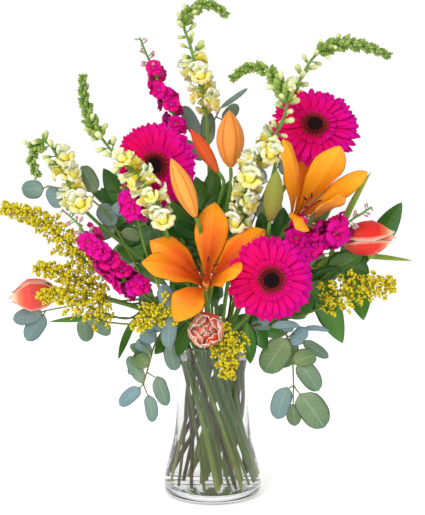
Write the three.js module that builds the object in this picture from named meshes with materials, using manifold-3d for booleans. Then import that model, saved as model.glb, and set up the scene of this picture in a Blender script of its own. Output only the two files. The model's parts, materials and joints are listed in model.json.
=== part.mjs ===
// A mixed bouquet led by three hot-pink gerberas, standing in a flared glass vase.
// Millimetres. +Z is up, the front of the bouquet faces -Y, +X is its right-hand side.
// The vase stands with the centre of its base at the origin.
import * as THREE from "three";
import { mergeVertices } from "three/addons/utils/BufferGeometryUtils.js";
import Module from "manifold-3d";

// ---- Vase and water -------------------------------------------------------------
// Radius and height of the outer wall, from the base rim up to the lip
const VASE_OUTER = [
  [57, 0], [62.5, 3], [65, 13], [62, 35], [56, 58], [51, 82], [48.2, 112], [48.4, 145], [51, 203],
];
const WALL = 3;
const BASE_THICKNESS = 10;
const WATER_LEVEL = 184;
const ROUND_SIDES = 20;

// ---- How the stems stand --------------------------------------------------------
const FOOT_HEIGHT = 15;
const LIP_HEIGHT = 214;
// The stems cross in the vase as one spiral: each foot is its place in the neck, turned and spread
const SPIRAL_TURN = 1.66;
const FOOT_SPREAD = 1.25;
const LIP_SPREAD = 1.12;
const STATION_SPACING = 105;
const THICK_STEM = 6;
const THIN_STEM = 4;
const STEM_GAP = 1.4;
const EASE_ROUNDS = 160;
// Air kept between two neighbouring pieces
const CLEARANCE = 0.4;
const GOLDEN_ANGLE = 2.39996;

// ---- Colours --------------------------------------------------------------------
const COLOUR = {
  glass: "#dfe6e6",
  water: "#e6ecea",
  gerbera: "#e0127a",
  gerberaCentre: "#1b0508",
  lily: "#f58a1f",
  lilyBud: "#ec8140",
  tulip: "#e8402f",
  stem: "#6f8f3c",
  leaf: "#3f6b2c",
  snapdragon: "#b9c878",
  stock: "#b01876",
  goldenrod: "#c9a92a",
  eucalyptus: "#84a192",
};

const wasm = await Module();
wasm.setup();

const vec = (x, y, z) => new THREE.Vector3(x, y, z);
const fromList = (list) => vec(list[0], list[1], list[2]);

// A steady stream of numbers from 0 to 1
function makeRandom(seed) {
  let state = seed * 7919 + 17;
  return () => {
    state = (state * 16807) % 2147483647;
    return state / 2147483647;
  };
}

// ---- Solid building blocks ------------------------------------------------------

function solidFrom(points, triangles) {
  let volume = 0;
  const edgeA = vec(0, 0, 0);
  for (const [a, b, c] of triangles) {
    volume += points[a].dot(edgeA.crossVectors(points[b], points[c]));
  }
  const vertices = new Float32Array(points.flatMap((p) => [p.x, p.y, p.z]));
  const order = volume < 0 ? triangles.map(([a, b, c]) => [a, c, b]) : triangles;
  const mesh = new wasm.Mesh({
    numProp: 3,
    vertProperties: vertices,
    triVerts: new Uint32Array(order.flat()),
  });
  return new wasm.Manifold(mesh);
}

// Skin drawn over a row of rings; a ring of one point closes to a tip.
// With mirrored set, the two faces of a thin blade are split into triangles alike.
function loft(rings, mirrored = false) {
  const points = rings.flat();
  const starts = [];
  let total = 0;
  for (const ring of rings) {
    starts.push(total);
    total += ring.length;
  }
  const triangles = [];
  for (let k = 0; k + 1 < rings.length; k += 1) {
    const low = starts[k];
    const high = starts[k + 1];
    const sides = Math.max(rings[k].length, rings[k + 1].length);
    for (let i = 0; i < sides; i += 1) {
      const j = (i + 1) % sides;
      if (rings[k].length === 1) {
        triangles.push([low, high + j, high + i]);
      } else if (rings[k + 1].length === 1) {
        triangles.push([low + i, low + j, high]);
      } else if (mirrored && i >= sides / 2) {
        triangles.push([low + i, low + j, high + i], [low + j, high + j, high + i]);
      } else {
        triangles.push([low + i, low + j, high + j], [low + i, high + j, high + i]);
      }
    }
  }
  const first = rings[0].length;
  for (let i = 1; i + 1 < first; i += 1) triangles.push([0, i + 1, i]);
  const last = rings[rings.length - 1].length;
  const end = starts[rings.length - 1];
  for (let i = 1; i + 1 < last; i += 1) triangles.push([end, end + i, end + i + 1]);
  return solidFrom(points, triangles);
}

function ringAround(centre, sideways, upward, radius, sides, start = 0) {
  const ring = [];
  for (let i = 0; i < sides; i += 1) {
    const angle = start + (i / sides) * Math.PI * 2;
    ring.push(
      centre.clone()
        .addScaledVector(sideways, Math.cos(angle) * radius)
        .addScaledVector(upward, Math.sin(angle) * radius),
    );
  }
  return ring;
}

// Two directions square to an axis
function squareTo(axis) {
  const helper = Math.abs(axis.z) < 0.9 ? vec(0, 0, 1) : vec(0, 1, 0);
  const sideways = helper.clone().cross(axis).normalize();
  return [sideways, axis.clone().cross(sideways).normalize()];
}

// A round stalk through the points, thick at its foot and thin at its top
function stalk(points, footRadius, topRadius, grow) {
  const sides = 4 + (footRadius * 2 >= THICK_STEM) - (footRadius * 2 <= THIN_STEM);
  const last = points.length - 1;
  const rings = [];
  let sideways = null;
  for (let k = 0; k <= last; k += 1) {
    const before = points[Math.max(k - 1, 0)];
    const after = points[Math.min(k + 1, last)];
    const along = after.clone().sub(before).normalize();
    if (sideways === null) [sideways] = squareTo(along);
    sideways = sideways.clone().addScaledVector(along, -along.dot(sideways)).normalize();
    const upward = along.clone().cross(sideways);
    const radius = footRadius + ((topRadius - footRadius) * k) / last + grow;
    const centre = points[k].clone();
    if (k === 0) centre.addScaledVector(along, -grow);
    if (k === last) centre.addScaledVector(along, grow);
    rings.push(ringAround(centre, sideways, upward, radius, sides));
  }
  return loft(rings);
}

// A bud or seed: fat near the middle, closing to a tip at both ends
function bead(foot, tip, radius, grow, sides = 4) {
  const axis = tip.clone().sub(foot).normalize();
  const [sideways, upward] = squareTo(axis);
  const belly = foot.clone().lerp(tip, 0.45);
  return loft([
    [foot.clone().addScaledVector(axis, -grow)],
    ringAround(belly, sideways, upward, radius + grow, sides),
    [tip.clone().addScaledVector(axis, grow)],
  ]);
}

// A swollen body along an axis: profile rows hold the share of the length and the radius
function bulb(foot, tip, profile, grow, sides) {
  const axis = tip.clone().sub(foot).normalize();
  const [sideways, upward] = squareTo(axis);
  const rings = profile.map(([share, radius], k) => {
    const centre = foot.clone().lerp(tip, share);
    if (k === 0) centre.addScaledVector(axis, -grow);
    if (k === profile.length - 1) centre.addScaledVector(axis, grow);
    return radius > 0
      ? ringAround(centre, sideways, upward, radius + grow, sides)
      : [centre];
  });
  return loft(rings);
}

// A thin blade with a lens-shaped section. Each station: {at, side, half, lift}
// half is half of its width, lift raises its edges over its middle rib.
function blade(stations, thick, grow) {
  const last = stations.length - 1;
  const rings = stations.map((station, k) => {
    const before = stations[Math.max(k - 1, 0)].at;
    const after = stations[Math.min(k + 1, last)].at;
    const along = after.clone().sub(before).normalize();
    const side = station.side.clone().addScaledVector(along, -along.dot(station.side)).normalize();
    const face = side.clone().cross(along).normalize();
    const middle = station.at.clone();
    if (k === 0) middle.addScaledVector(along, -grow);
    if (k === last) middle.addScaledVector(along, grow);
    if (station.half === 0) return [middle];
    const half = station.half + grow;
    const depth = thick / 2 + grow;
    return [
      middle.clone().addScaledVector(side, half).addScaledVector(face, station.lift),
      middle.clone().addScaledVector(face, depth),
      middle.clone().addScaledVector(side, -half).addScaledVector(face, station.lift),
      middle.clone().addScaledVector(face, -depth),
    ];
  });
  return loft(rings, true);
}

// A wheel of petals cut free of one another down to their notches: {count, notch, reach,
// share, height, rise, droop, thick}; `at(radius, angle, height)` places its points.
function petalWheel(at, wheel, random, grow) {
  const half = wheel.thick + grow;
  const points = [at(0, 0, wheel.height + half), at(0, 0, wheel.height - half)];
  const triangles = [];
  const step = (Math.PI * 2) / wheel.count;
  const level = (radius) => {
    const out = Math.max(radius - wheel.core, 0);
    return wheel.height + out * wheel.rise - wheel.droop * (out / wheel.reach) ** 2;
  };
  const add = (radius, angle, lift) => {
    points.push(at(radius, angle, level(radius) + lift));
    return points.length - 1;
  };
  const slices = [];
  for (let i = 0; i < wheel.count; i += 1) {
    const edge = wheel.start + (i - 0.5) * step;
    const middle = wheel.start + (i + 0.16 * (random() - 0.5)) * step;
    const reach = wheel.reach * (0.94 + 0.06 * random()) + grow;
    const wave = 1.6 * (random() - 0.5);
    const open = wheel.share * 0.5 * step + grow / reach;
    slices.push({
      top: add(wheel.core, edge, half),
      bottom: add(wheel.core, edge, -half),
      notch: add(wheel.notch + grow, edge, 0),
      ribTop: add(reach * 0.62, middle, wheel.thick / 2 + grow + wave * 0.3),
      ribBottom: add(reach * 0.62, middle, -wheel.thick / 2 - grow + wave * 0.3),
      left: add(reach * 0.97, middle - open, wave),
      right: add(reach, middle + open, wave),
    });
  }
  slices.forEach((slice, i) => {
    const next = slices[(i + 1) % slices.length];
    const faces = [[0, slice.top, next.top, slice.ribTop], [1, slice.bottom, next.bottom, slice.ribBottom]];
    faces.forEach(([hub, near, far, rib], lower) => {
      const outline = [near, slice.notch, slice.left, slice.right, next.notch, far];
      const fan = outline.map((a, k) => [a, outline[(k + 1) % outline.length], rib]);
      fan.push([hub, near, far]);
      for (const [a, b, c] of fan) triangles.push(lower ? [a, c, b] : [a, b, c]);
    });
  });
  return solidFrom(points, triangles);
}

// A trumpet-shaped flower: rows of {along, radii}, closed by a dished face
function trumpet(foot, axis, sideways, rows, dish, grow) {
  const upward = axis.clone().cross(sideways);
  const rings = rows.map(({ along, radii }) => radii.map((radius, i) => {
    const angle = (i / radii.length) * Math.PI * 2;
    const lift = Array.isArray(along) ? along[i % along.length] : along;
    return foot.clone()
      .addScaledVector(axis, lift)
      .addScaledVector(sideways, Math.cos(angle) * (radius + grow))
      .addScaledVector(upward, Math.sin(angle) * (radius + grow));
  }));
  return loft([
    [foot.clone().addScaledVector(axis, -grow)],
    ...rings,
    [foot.clone().addScaledVector(axis, dish + grow)],
  ]);
}

function join(solids) {
  let queue = solids;
  while (queue.length > 1) {
    const next = [];
    for (let i = 0; i < queue.length; i += 2) {
      next.push(i + 1 < queue.length ? queue[i].add(queue[i + 1]) : queue[i]);
    }
    queue = next;
  }
  return queue[0];
}

// ---- The plan: where every stem stands and where its head is ---------------------
// neck: place in the neck of the vase; path: stations above the lip;
// branches: side stems, each starting from station `from` of the path.
// A leaf row: foot point, tip point, width, twist in degrees.

const gerberas = [
  { name: "gerbera_left", neck: [-9, -6], path: [[-30, -14, 310], [-54, -20, 395]],
    centre: [-72, -60, 440], facing: [-0.25, -1, -0.1], radius: 57 },
  { name: "gerbera_right", neck: [23, 2], path: [[56, 6, 330], [98, 8, 415]],
    centre: [130, -40, 490], facing: [0.05, -0.84, 0.54], radius: 61 },
  { name: "gerbera_low", neck: [19, -31], path: [[46, -58, 250]],
    centre: [72, -118, 302], facing: [0.05, -1, -0.1], radius: 57 },
];

// A tepal row: tip point, widest half-width, lift of its edges
const lilies = [
  { name: "lily_left", neck: [-2, -23], path: [[-6, -40, 258]],
    throat: [-8, -95, 309], facing: [0, -0.8, 0.6],
    tepals: [
      [[3, -66, 393], 17, 2], [[66, -84, 360], 16, 2], [[35, -142, 316], 15, 2],
      [[-46, -116, 250], 17, 2], [[-87, -108, 322], 15, 2], [[-78, -80, 346], 17, 2],
    ],
    branches: [
      { from: 0, path: [[-14, -48, 325]] },
      { from: 0, path: [[12, -40, 345]] },
      { from: 0, path: [[-2, -30, 350]] },
    ],
    buds: [
      { name: "lily_bud_low", foot: [-21, -85, 376], tip: [-51, -100, 450], radius: 13 },
      { name: "lily_bud_high", foot: [23, -50, 436], tip: [21, -50, 509], radius: 18 },
      { name: "lily_bud_slim", foot: [7, -57, 431], tip: [-28, -64, 486], radius: 9 },
    ] },
  { name: "lily_right", neck: [20, -12], path: [[48, -22, 280], [82, -24, 335]],
    throat: [121, -60, 386], facing: [0.463, -0.72, 0.515],
    tepals: [
      [[86, -92, 472], 14, 2], [[158, -84, 464], 17, 2], [[193, -76, 432], 10, 2],
      [[156, -112, 404], 15, 2], [[102, -114, 364], 13, 2], [[128, -28, 466], 15, 2],
    ],
    branches: [{ from: 1, path: [] }],
    buds: [{ name: "", foot: [71, -95, 371], tip: [79, -100, 436], radius: 12 }] },
];

const tulips = [
  { name: "tulip_left", neck: [-37, -2], path: [[-85, -5, 243], [-150, -10, 266]],
    foot: [-204, -15, 273], tip: [-266, -30, 267], radius: 21, opening: 0,
    leaves: [] },
  { name: "tulip_right", neck: [37, -2], path: [[84, -22, 262], [128, -48, 318]],
    foot: [163, -60, 345], tip: [233, -65, 350], radius: 22, opening: 0,
    leaves: [[[135, -36, 305], [210, -34, 322], 25, 20], [[150, -36, 326], [259, -34, 316], 8, 0]] },
  { name: "tulip_front", neck: [-5, -36], path: [[-6, -44, 224]],
    foot: [-8, -74, 234], tip: [-8, -116, 238], radius: 22, opening: 1,
    leaves: [] },
];

// flowers: length of the flowering spike, back from its tip; buds: length of it still in bud
const snapdragons = [
  { name: "snapdragon_top", neck: [5, 5],
    path: [[0, 0, 330], [-4, 0, 420], [-6, 0, 471], [-10, 0, 516], [-19, 0, 555], [-29, 0, 593],
      [-37, 3, 619], [-29, 5, 636], [-12, 8, 646], [5, 10, 643], [20, 10, 630]],
    flowers: 190, buds: 118 },
  { name: "snapdragon_left", neck: [-15, -18],
    path: [[-32, -50, 290], [-52, -74, 340], [-62, -84, 372], [-71, -94, 403], [-89, -97, 425],
      [-114, -90, 447], [-136, -78, 472], [-153, -70, 496], [-160, -65, 521], [-162, -60, 551]],
    flowers: 190, buds: 125 },
  { name: "snapdragon_far_left", neck: [-23, -4],
    path: [[-75, -15, 300], [-130, -35, 350], [-169, -45, 389], [-184, -42, 418], [-196, -40, 446],
      [-206, -38, 464], [-218, -35, 470], [-229, -35, 460], [-231, -35, 442], [-223, -35, 424]],
    flowers: 150, buds: 85 },
  { name: "snapdragon_arch", neck: [11, -20],
    path: [[22, -45, 300], [36, -60, 345], [37, -70, 384], [42, -80, 412], [53, -85, 441],
      [71, -84, 468], [86, -82, 494], [92, -80, 517], [85, -75, 538], [71, -72, 555],
      [54, -70, 563], [37, -65, 558], [23, -60, 546]],
    flowers: 235, buds: 150 },
  { name: "snapdragon_right", neck: [18, 15],
    path: [[40, 10, 300], [66, 6, 370], [82, 2, 438], [93, 0, 484], [102, 0, 523], [115, 0, 551],
      [129, 0, 575], [147, 0, 590], [175, 0, 596], [204, 0, 590], [231, 0, 578]],
    flowers: 160, buds: 150 },
];

const stocks = [
  { name: "stock_top", neck: [-6, 9],
    path: [[-20, 6, 330], [-36, 0, 420], [-45, -10, 484], [-55, -12, 516], [-68, -15, 541],
      [-80, -18, 570], [-93, -20, 601]],
    branches: [], flowers: 132, size: 10, seed: 3 },
  { name: "stock_left", neck: [-27, -25],
    path: [[-56, -52, 250], [-80, -70, 272], [-104, -80, 292], [-128, -80, 314], [-150, -75, 340],
      [-169, -68, 366], [-190, -60, 384]],
    branches: [{ from: 0, path: [[-84, -62, 330], [-98, -70, 385], [-112, -74, 424]],
      flowers: 56, size: 12 }],
    flowers: 150, size: 13, seed: 5 },
  { name: "stock_right", neck: [28, -14],
    path: [[64, -34, 275], [98, -62, 318], [122, -78, 341], [147, -80, 355], [172, -78, 371],
      [200, -70, 388]],
    branches: [{ from: 1, path: [[108, -76, 350], [126, -84, 380]], flowers: 34, size: 13 }],
    flowers: 128, size: 13, seed: 8 },
];

const goldenrods = [
  { name: "goldenrod_left", neck: [-34, -14],
    path: [[-80, -28, 262], [-120, -35, 285], [-151, -40, 305], [-183, -40, 337],
      [-211, -40, 362], [-240, -40, 378], [-267, -40, 384]],
    branches: [
      { from: 0, path: [[-110, -46, 262], [-144, -50, 276], [-172, -53, 296], [-222, -55, 309]] },
      { from: 0, path: [[-106, -52, 244], [-137, -65, 252], [-165, -74, 266], [-190, -78, 278],
        [-215, -75, 275]] },
    ],
    flowers: 150, reach: 20 },
  { name: "goldenrod_front_left", neck: [-17, -32],
    path: [[-30, -56, 238], [-47, -78, 252], [-63, -90, 262], [-80, -95, 254], [-92, -95, 238]],
    branches: [], flowers: 66, reach: 18 },
  { name: "goldenrod_front_right", neck: [7, -36],
    path: [[18, -58, 230], [25, -80, 230], [23, -92, 217], [19, -98, 200], [17, -96, 180]],
    branches: [], flowers: 62, reach: 22 },
  { name: "goldenrod_right", neck: [34, -14],
    path: [[80, -38, 236], [131, -58, 255], [155, -67, 272], [180, -72, 285], [205, -73, 291],
      [228, -70, 287]],
    branches: [], flowers: 104, reach: 24 },
  { name: "goldenrod_back", neck: [0, 36],
    path: [[-8, 66, 290], [-24, 96, 360], [-44, 116, 410], [-66, 126, 450], [-90, 128, 476]],
    branches: [], flowers: 120, reach: 22 },
];

const sprays = [
  { name: "eucalyptus_left", colour: "eucalyptus", neck: [-35, 11], shape: "round",
    path: [[-78, 6, 262], [-112, -12, 330], [-140, -26, 380], [-170, -25, 402], [-212, -22, 412]],
    branches: [{ from: 0, path: [[-128, 14, 256], [-180, 10, 252], [-220, -8, 247]] }],
    leaves: [
      [[-218, -22, 408], [-246, -26, 408], 24, 10], [[-210, -25, 412], [-197, -28, 384], 19, -15],
      [[-150, -30, 404], [-167, -34, 438], 24, 15], [[-146, -24, 388], [-126, -24, 362], 25, -10],
      [[-129, -38, 385], [-104, -46, 382], 20, 0], [[-118, -30, 352], [-93, -40, 346], 19, 20],
      [[-224, -12, 246], [-261, -18, 236], 22, 8], [[-222, -8, 242], [-244, -14, 208], 25, -12],
    ] },
  { name: "eucalyptus_low_left", colour: "eucalyptus", neck: [-31, -20], shape: "round",
    path: [[-56, -58, 236], [-72, -70, 216], [-80, -70, 190], [-88, -70, 162]],
    branches: [{ from: 0, path: [[-98, -66, 238], [-132, -60, 240], [-160, -54, 246]] }],
    leaves: [
      [[-78, -70, 204], [-107, -74, 176], 17, 10], [[-92, -70, 157], [-118, -72, 134], 19, -10],
      [[-82, -70, 148], [-77, -72, 113], 18, 15], [[-70, -70, 172], [-58, -70, 134], 20, -20],
      [[-56, -64, 212], [-47, -72, 180], 21, 0], [[-62, -84, 292], [-56, -92, 262], 22, 10],
      [[-162, -52, 246], [-131, -56, 224], 22, 12], [[-166, -50, 244], [-160, -54, 214], 21, -12],
    ] },
  { name: "eucalyptus_top", colour: "eucalyptus", neck: [4, 23], shape: "round",
    path: [[6, 30, 330], [0, 30, 420], [-8, 26, 470], [10, 22, 512]],
    branches: [],
    leaves: [
      [[-16, 24, 474], [-38, 16, 515], 19, 10], [[-8, 24, 462], [-6, 18, 508], 20, -10],
      [[14, 22, 494], [33, 18, 517], 17, 0], [[10, 22, 512], [46, 18, 538], 7, 0],
      [[-8, 28, 446], [-40, 44, 470], 20, 20],
    ] },
  { name: "eucalyptus_right", colour: "eucalyptus", neck: [25, -24], shape: "round",
    path: [[58, -58, 236], [88, -64, 232], [100, -62, 208], [103, -60, 182], [104, -60, 158]],
    branches: [],
    leaves: [
      [[94, -66, 220], [66, -72, 178], 36, 8], [[101, -54, 216], [92, -46, 178], 30, -10],
      [[110, -60, 188], [136, -64, 152], 27, 12], [[96, -62, 156], [83, -64, 115], 27, -12],
      [[104, -52, 132], [107, -48, 102], 20, 0], [[112, -64, 148], [143, -68, 105], 38, 8],
      [[116, -54, 214], [149, -54, 193], 15, 0], [[74, -84, 238], [109, -96, 241], 14, 30],
      [[112, -62, 230], [148, -68, 230], 11, 40],
    ] },
  { name: "eucalyptus_back", colour: "eucalyptus", neck: [16, 33], shape: "round",
    path: [[32, 66, 290], [54, 104, 350], [80, 124, 410], [104, 128, 452]],
    branches: [{ from: 1, path: [[20, 122, 372], [-4, 132, 392]] }],
    leaves: [
      [[104, 130, 452], [118, 132, 486], 26, 160], [[92, 128, 436], [124, 136, 430], 28, 200],
      [[76, 124, 410], [50, 136, 430], 27, 170], [[66, 118, 380], [98, 130, 366], 29, 190],
      [[50, 104, 346], [28, 116, 324], 27, 175], [[-4, 132, 392], [-32, 138, 404], 27, 185],
      [[10, 126, 380], [4, 138, 350], 25, 195],
    ] },
  { name: "leaves_left", colour: "leaf", neck: [-25, 22], shape: "pointed",
    path: [[-60, 22, 262], [-86, 10, 330], [-108, 0, 376]],
    branches: [{ from: 0, path: [[-92, -4, 240], [-126, -20, 240]] }],
    leaves: [
      [[-108, 0, 376], [-142, -8, 434], 28, 10], [[-104, 2, 370], [-160, 4, 404], 24, -15],
      [[-88, 6, 330], [-78, -34, 360], 28, 10], [[-128, -22, 240], [-212, -32, 236], 9, 0],
      [[-100, -12, 240], [-122, -40, 188], 11, -15], [[-84, 14, 322], [-132, 38, 322], 26, 170],
      [[-70, 20, 290], [-112, 58, 300], 28, 165],
    ] },
  { name: "leaves_middle", colour: "leaf", neck: [-13, 20], shape: "pointed",
    path: [[-18, 2, 290], [-14, -14, 340], [-4, -20, 374]],
    branches: [],
    leaves: [
      [[-4, -20, 374], [-22, -28, 424], 25, 10], [[2, -20, 366], [30, -26, 408], 22, -10],
      [[-14, -16, 344], [-48, -60, 366], 24, 10], [[-16, -12, 318], [-42, -66, 330], 22, 0],
    ] },
  { name: "leaves_right", colour: "leaf", neck: [36, 10], shape: "pointed",
    path: [[88, 4, 262], [142, -6, 300], [200, -12, 320]],
    branches: [],
    leaves: [
      [[202, -12, 318], [244, -26, 391], 30, -12], [[154, -10, 318], [202, -42, 431], 10, 10],
      [[134, -6, 300], [106, -22, 366], 24, 0], [[120, 0, 290], [150, 44, 318], 30, 165],
      [[170, -6, 314], [200, 36, 340], 28, 160],
    ] },
  { name: "leaves_low_right", colour: "leaf", neck: [37, -13], shape: "pointed",
    path: [[90, -24, 244], [134, -42, 288], [176, -42, 322]],
    branches: [],
    leaves: [
      [[176, -42, 322], [194, -50, 241], 36, 12], [[138, -44, 292], [167, -54, 212], 36, -10],
      [[112, -38, 268], [146, -60, 292], 22, 10],
    ] },
  { name: "leaves_back_left", colour: "leaf", neck: [-16, 33], shape: "pointed",
    path: [[-42, 64, 262], [-76, 96, 320], [-104, 112, 372]],
    branches: [{ from: 0, path: [[-30, 92, 290], [-20, 118, 318]] }],
    leaves: [
      [[-104, 112, 372], [-132, 124, 438], 36, 170], [[-98, 110, 362], [-160, 120, 372], 34, 190],
      [[-84, 104, 332], [-148, 112, 300], 36, 175], [[-74, 96, 318], [-60, 118, 388], 34, 185],
      [[-20, 118, 318], [6, 134, 372], 33, 175], [[-28, 112, 308], [-58, 132, 264], 32, 190],
      [[-46, 68, 262], [-104, 84, 226], 30, 165],
    ] },
  { name: "leaves_back_right", colour: "leaf", neck: [29, 24], shape: "pointed",
    path: [[70, 44, 256], [112, 70, 302], [136, 80, 350]],
    branches: [{ from: 0, path: [[70, 78, 270], [66, 104, 292]] }],
    leaves: [
      [[136, 80, 350], [160, 88, 414], 34, 170], [[130, 78, 336], [190, 84, 348], 33, 190],
      [[112, 72, 302], [168, 82, 272], 34, 175], [[66, 104, 292], [44, 130, 248], 32, 190],
      [[68, 106, 294], [110, 128, 268], 32, 175], [[104, 66, 292], [92, 92, 340], 30, 180],
      [[78, 50, 258], [128, 62, 226], 28, 170],
    ] },
];

// ---- Stems: routed from the foot in the water up to each head --------------------

// Radius of the room inside the vase at a height
function innerRadius(height) {
  for (let i = 0; i + 1 < VASE_OUTER.length; i += 1) {
    const [lowRadius, low] = VASE_OUTER[i];
    const [highRadius, high] = VASE_OUTER[i + 1];
    if (height <= high) {
      const share = Math.max(height - low, 0) / (high - low);
      return lowRadius + (highRadius - lowRadius) * share - WALL;
    }
  }
  return VASE_OUTER[VASE_OUTER.length - 1][0] - WALL;
}

// A smooth line through the knots, cut into stations; every knot stays a station
function stationsThrough(knots) {
  const times = [0];
  for (let i = 1; i < knots.length; i += 1) {
    times.push(times[i - 1] + knots[i].distanceTo(knots[i - 1]));
  }
  const slope = (i) => {
    const a = Math.max(i - 1, 0);
    const b = Math.min(i + 1, knots.length - 1);
    return knots[b].clone().sub(knots[a]).divideScalar(times[b] - times[a]);
  };
  const stations = [knots[0].clone()];
  for (let i = 0; i + 1 < knots.length; i += 1) {
    const span = times[i + 1] - times[i];
    const pieces = Math.max(1, Math.round(span / STATION_SPACING));
    const from = slope(i);
    const to = slope(i + 1);
    for (let k = 1; k <= pieces; k += 1) {
      const t = k / pieces;
      const t2 = t * t;
      const t3 = t2 * t;
      stations.push(
        knots[i].clone().multiplyScalar(2 * t3 - 3 * t2 + 1)
          .addScaledVector(from, (t3 - 2 * t2 + t) * span)
          .addScaledVector(knots[i + 1], 3 * t2 - 2 * t3)
          .addScaledVector(to, (t3 - t2) * span),
      );
    }
  }
  return stations;
}

// room: half the width that the stem and its flowers ask for near its top
function mainLimb(plant, thick, pinned, room, flowering, lead = []) {
  const [x, y] = plant.neck;
  const cos = Math.cos(SPIRAL_TURN) * FOOT_SPREAD;
  const sin = Math.sin(SPIRAL_TURN) * FOOT_SPREAD;
  const knots = [
    vec(x * cos - y * sin, x * sin + y * cos, FOOT_HEIGHT),
    vec(x * LIP_SPREAD, y * LIP_SPREAD, LIP_HEIGHT),
    ...plant.path.map(fromList),
    ...lead,
  ];
  const points = stationsThrough(knots);
  const insideCount = points.findIndex((p) => p.distanceTo(knots[1]) < 1e-6) + 1;
  return { plant: plant.name, points, thick, pinned, insideCount, room, flowering, parent: null };
}

function sideLimb(plant, parent, branch, thick, pinned, room, flowering, lead = []) {
  const start = fromList(plant.path[branch.from]);
  const station = parent.points.findIndex((p) => p.distanceTo(start) < 1e-6);
  const points = stationsThrough([start, ...branch.path.map(fromList), ...lead]);
  return {
    plant: plant.name, points, thick, pinned, insideCount: 0, room, flowering, parent, station,
  };
}

// Nearest points of two straight pieces: their shares and the gap between them
function nearest(a0, a1, b0, b1) {
  const u = a1.clone().sub(a0);
  const v = b1.clone().sub(b0);
  const w = a0.clone().sub(b0);
  const a = u.dot(u);
  const b = u.dot(v);
  const c = v.dot(v);
  const d = u.dot(w);
  const e = v.dot(w);
  const clamp = (t) => Math.min(Math.max(t, 0), 1);
  const area = a * c - b * b;
  let s = area > 1e-9 ? clamp((b * e - c * d) / area) : 0;
  const t = clamp((b * s + e) / c);
  s = clamp((b * t - d) / a);
  const gap = w.addScaledVector(u, s).addScaledVector(v, -t);
  return { s, t, gap };
}

// Stems that would run through each other are eased apart, a little in every round
function easeApart(limbs) {
  const pieces = [];
  for (const limb of limbs) {
    const total = limb.points.length - 1;
    for (let k = 0; k < total; k += 1) {
      const flowering = k >= total - limb.flowering;
      const half = limb.thick / 2 + (flowering ? limb.room : 0);
      pieces.push({ limb, k, half });
    }
  }
  for (let round = 0; round < EASE_ROUNDS; round += 1) {
    const moves = new Map(limbs.map((limb) => [limb, limb.points.map(() => vec(0, 0, 0))]));
    for (let i = 0; i < pieces.length; i += 1) {
      for (let j = i + 1; j < pieces.length; j += 1) {
        const one = pieces[i];
        const two = pieces[j];
        if (one.limb.plant === two.limb.plant) continue;
        const need = one.half + two.half + STEM_GAP;
        const a0 = one.limb.points[one.k];
        const b0 = two.limb.points[two.k];
        if (a0.distanceTo(b0) > need + 2.9 * STATION_SPACING) continue;
        const a1 = one.limb.points[one.k + 1];
        const b1 = two.limb.points[two.k + 1];
        const { s, t, gap } = nearest(a0, a1, b0, b1);
        const distance = gap.length();
        if (distance >= need) continue;
        const push = gap.multiplyScalar((0.3 * (need - distance)) / Math.max(distance, 0.01));
        const movesOne = moves.get(one.limb);
        const movesTwo = moves.get(two.limb);
        movesOne[one.k].addScaledVector(push, 1 - s);
        movesOne[one.k + 1].addScaledVector(push, s);
        movesTwo[two.k].addScaledVector(push, t - 1);
        movesTwo[two.k + 1].addScaledVector(push, -t);
      }
    }
    for (const limb of limbs) {
      const free = limb.points.length - limb.pinned;
      const shift = moves.get(limb);
      for (let k = 0; k < free; k += 1) {
        const move = shift[k];
        move.clampLength(0, 3);
        if (k < limb.insideCount) move.z = 0;
        limb.points[k].add(move);
        if (k < limb.insideCount) {
          const height = limb.points[k].z;
          const most = innerRadius(height) - limb.thick / 2 - 1.5;
          const reach = Math.hypot(limb.points[k].x, limb.points[k].y);
          if (reach > most) {
            limb.points[k].x *= most / reach;
            limb.points[k].y *= most / reach;
          }
        }
      }
      if (limb.parent) limb.points[0].copy(limb.parent.points[limb.station]);
    }
  }
}

// ---- Pieces: every one is made plain, and once more a little fatter to keep its air --

const pieces = [];
const limbs = [];

function addPiece(name, colour, stems, make) {
  pieces.push({ name, colour, stems, make });
}

const aim = (list) => fromList(list).normalize();

// Point at a distance back from the end of a row of stations, with its direction
function pointFromEnd(points, distance) {
  let left = distance;
  for (let k = points.length - 1; k > 0; k -= 1) {
    const span = points[k].distanceTo(points[k - 1]);
    if (left <= span || k === 1) {
      const share = Math.min(left / span, 1);
      const along = points[k].clone().sub(points[k - 1]).normalize();
      return { at: points[k].clone().lerp(points[k - 1], share), along };
    }
    left -= span;
  }
  return { at: points[0].clone(), along: vec(0, 0, 1) };
}

// The stations of a stem, cut short at a distance below its end
function pointsBelow(points, distance) {
  let left = distance;
  let last = points.length - 1;
  while (left > points[last].distanceTo(points[last - 1])) {
    left -= points[last].distanceTo(points[last - 1]);
    last -= 1;
  }
  return [...points.slice(0, last), pointFromEnd(points, distance).at];
}

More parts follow.
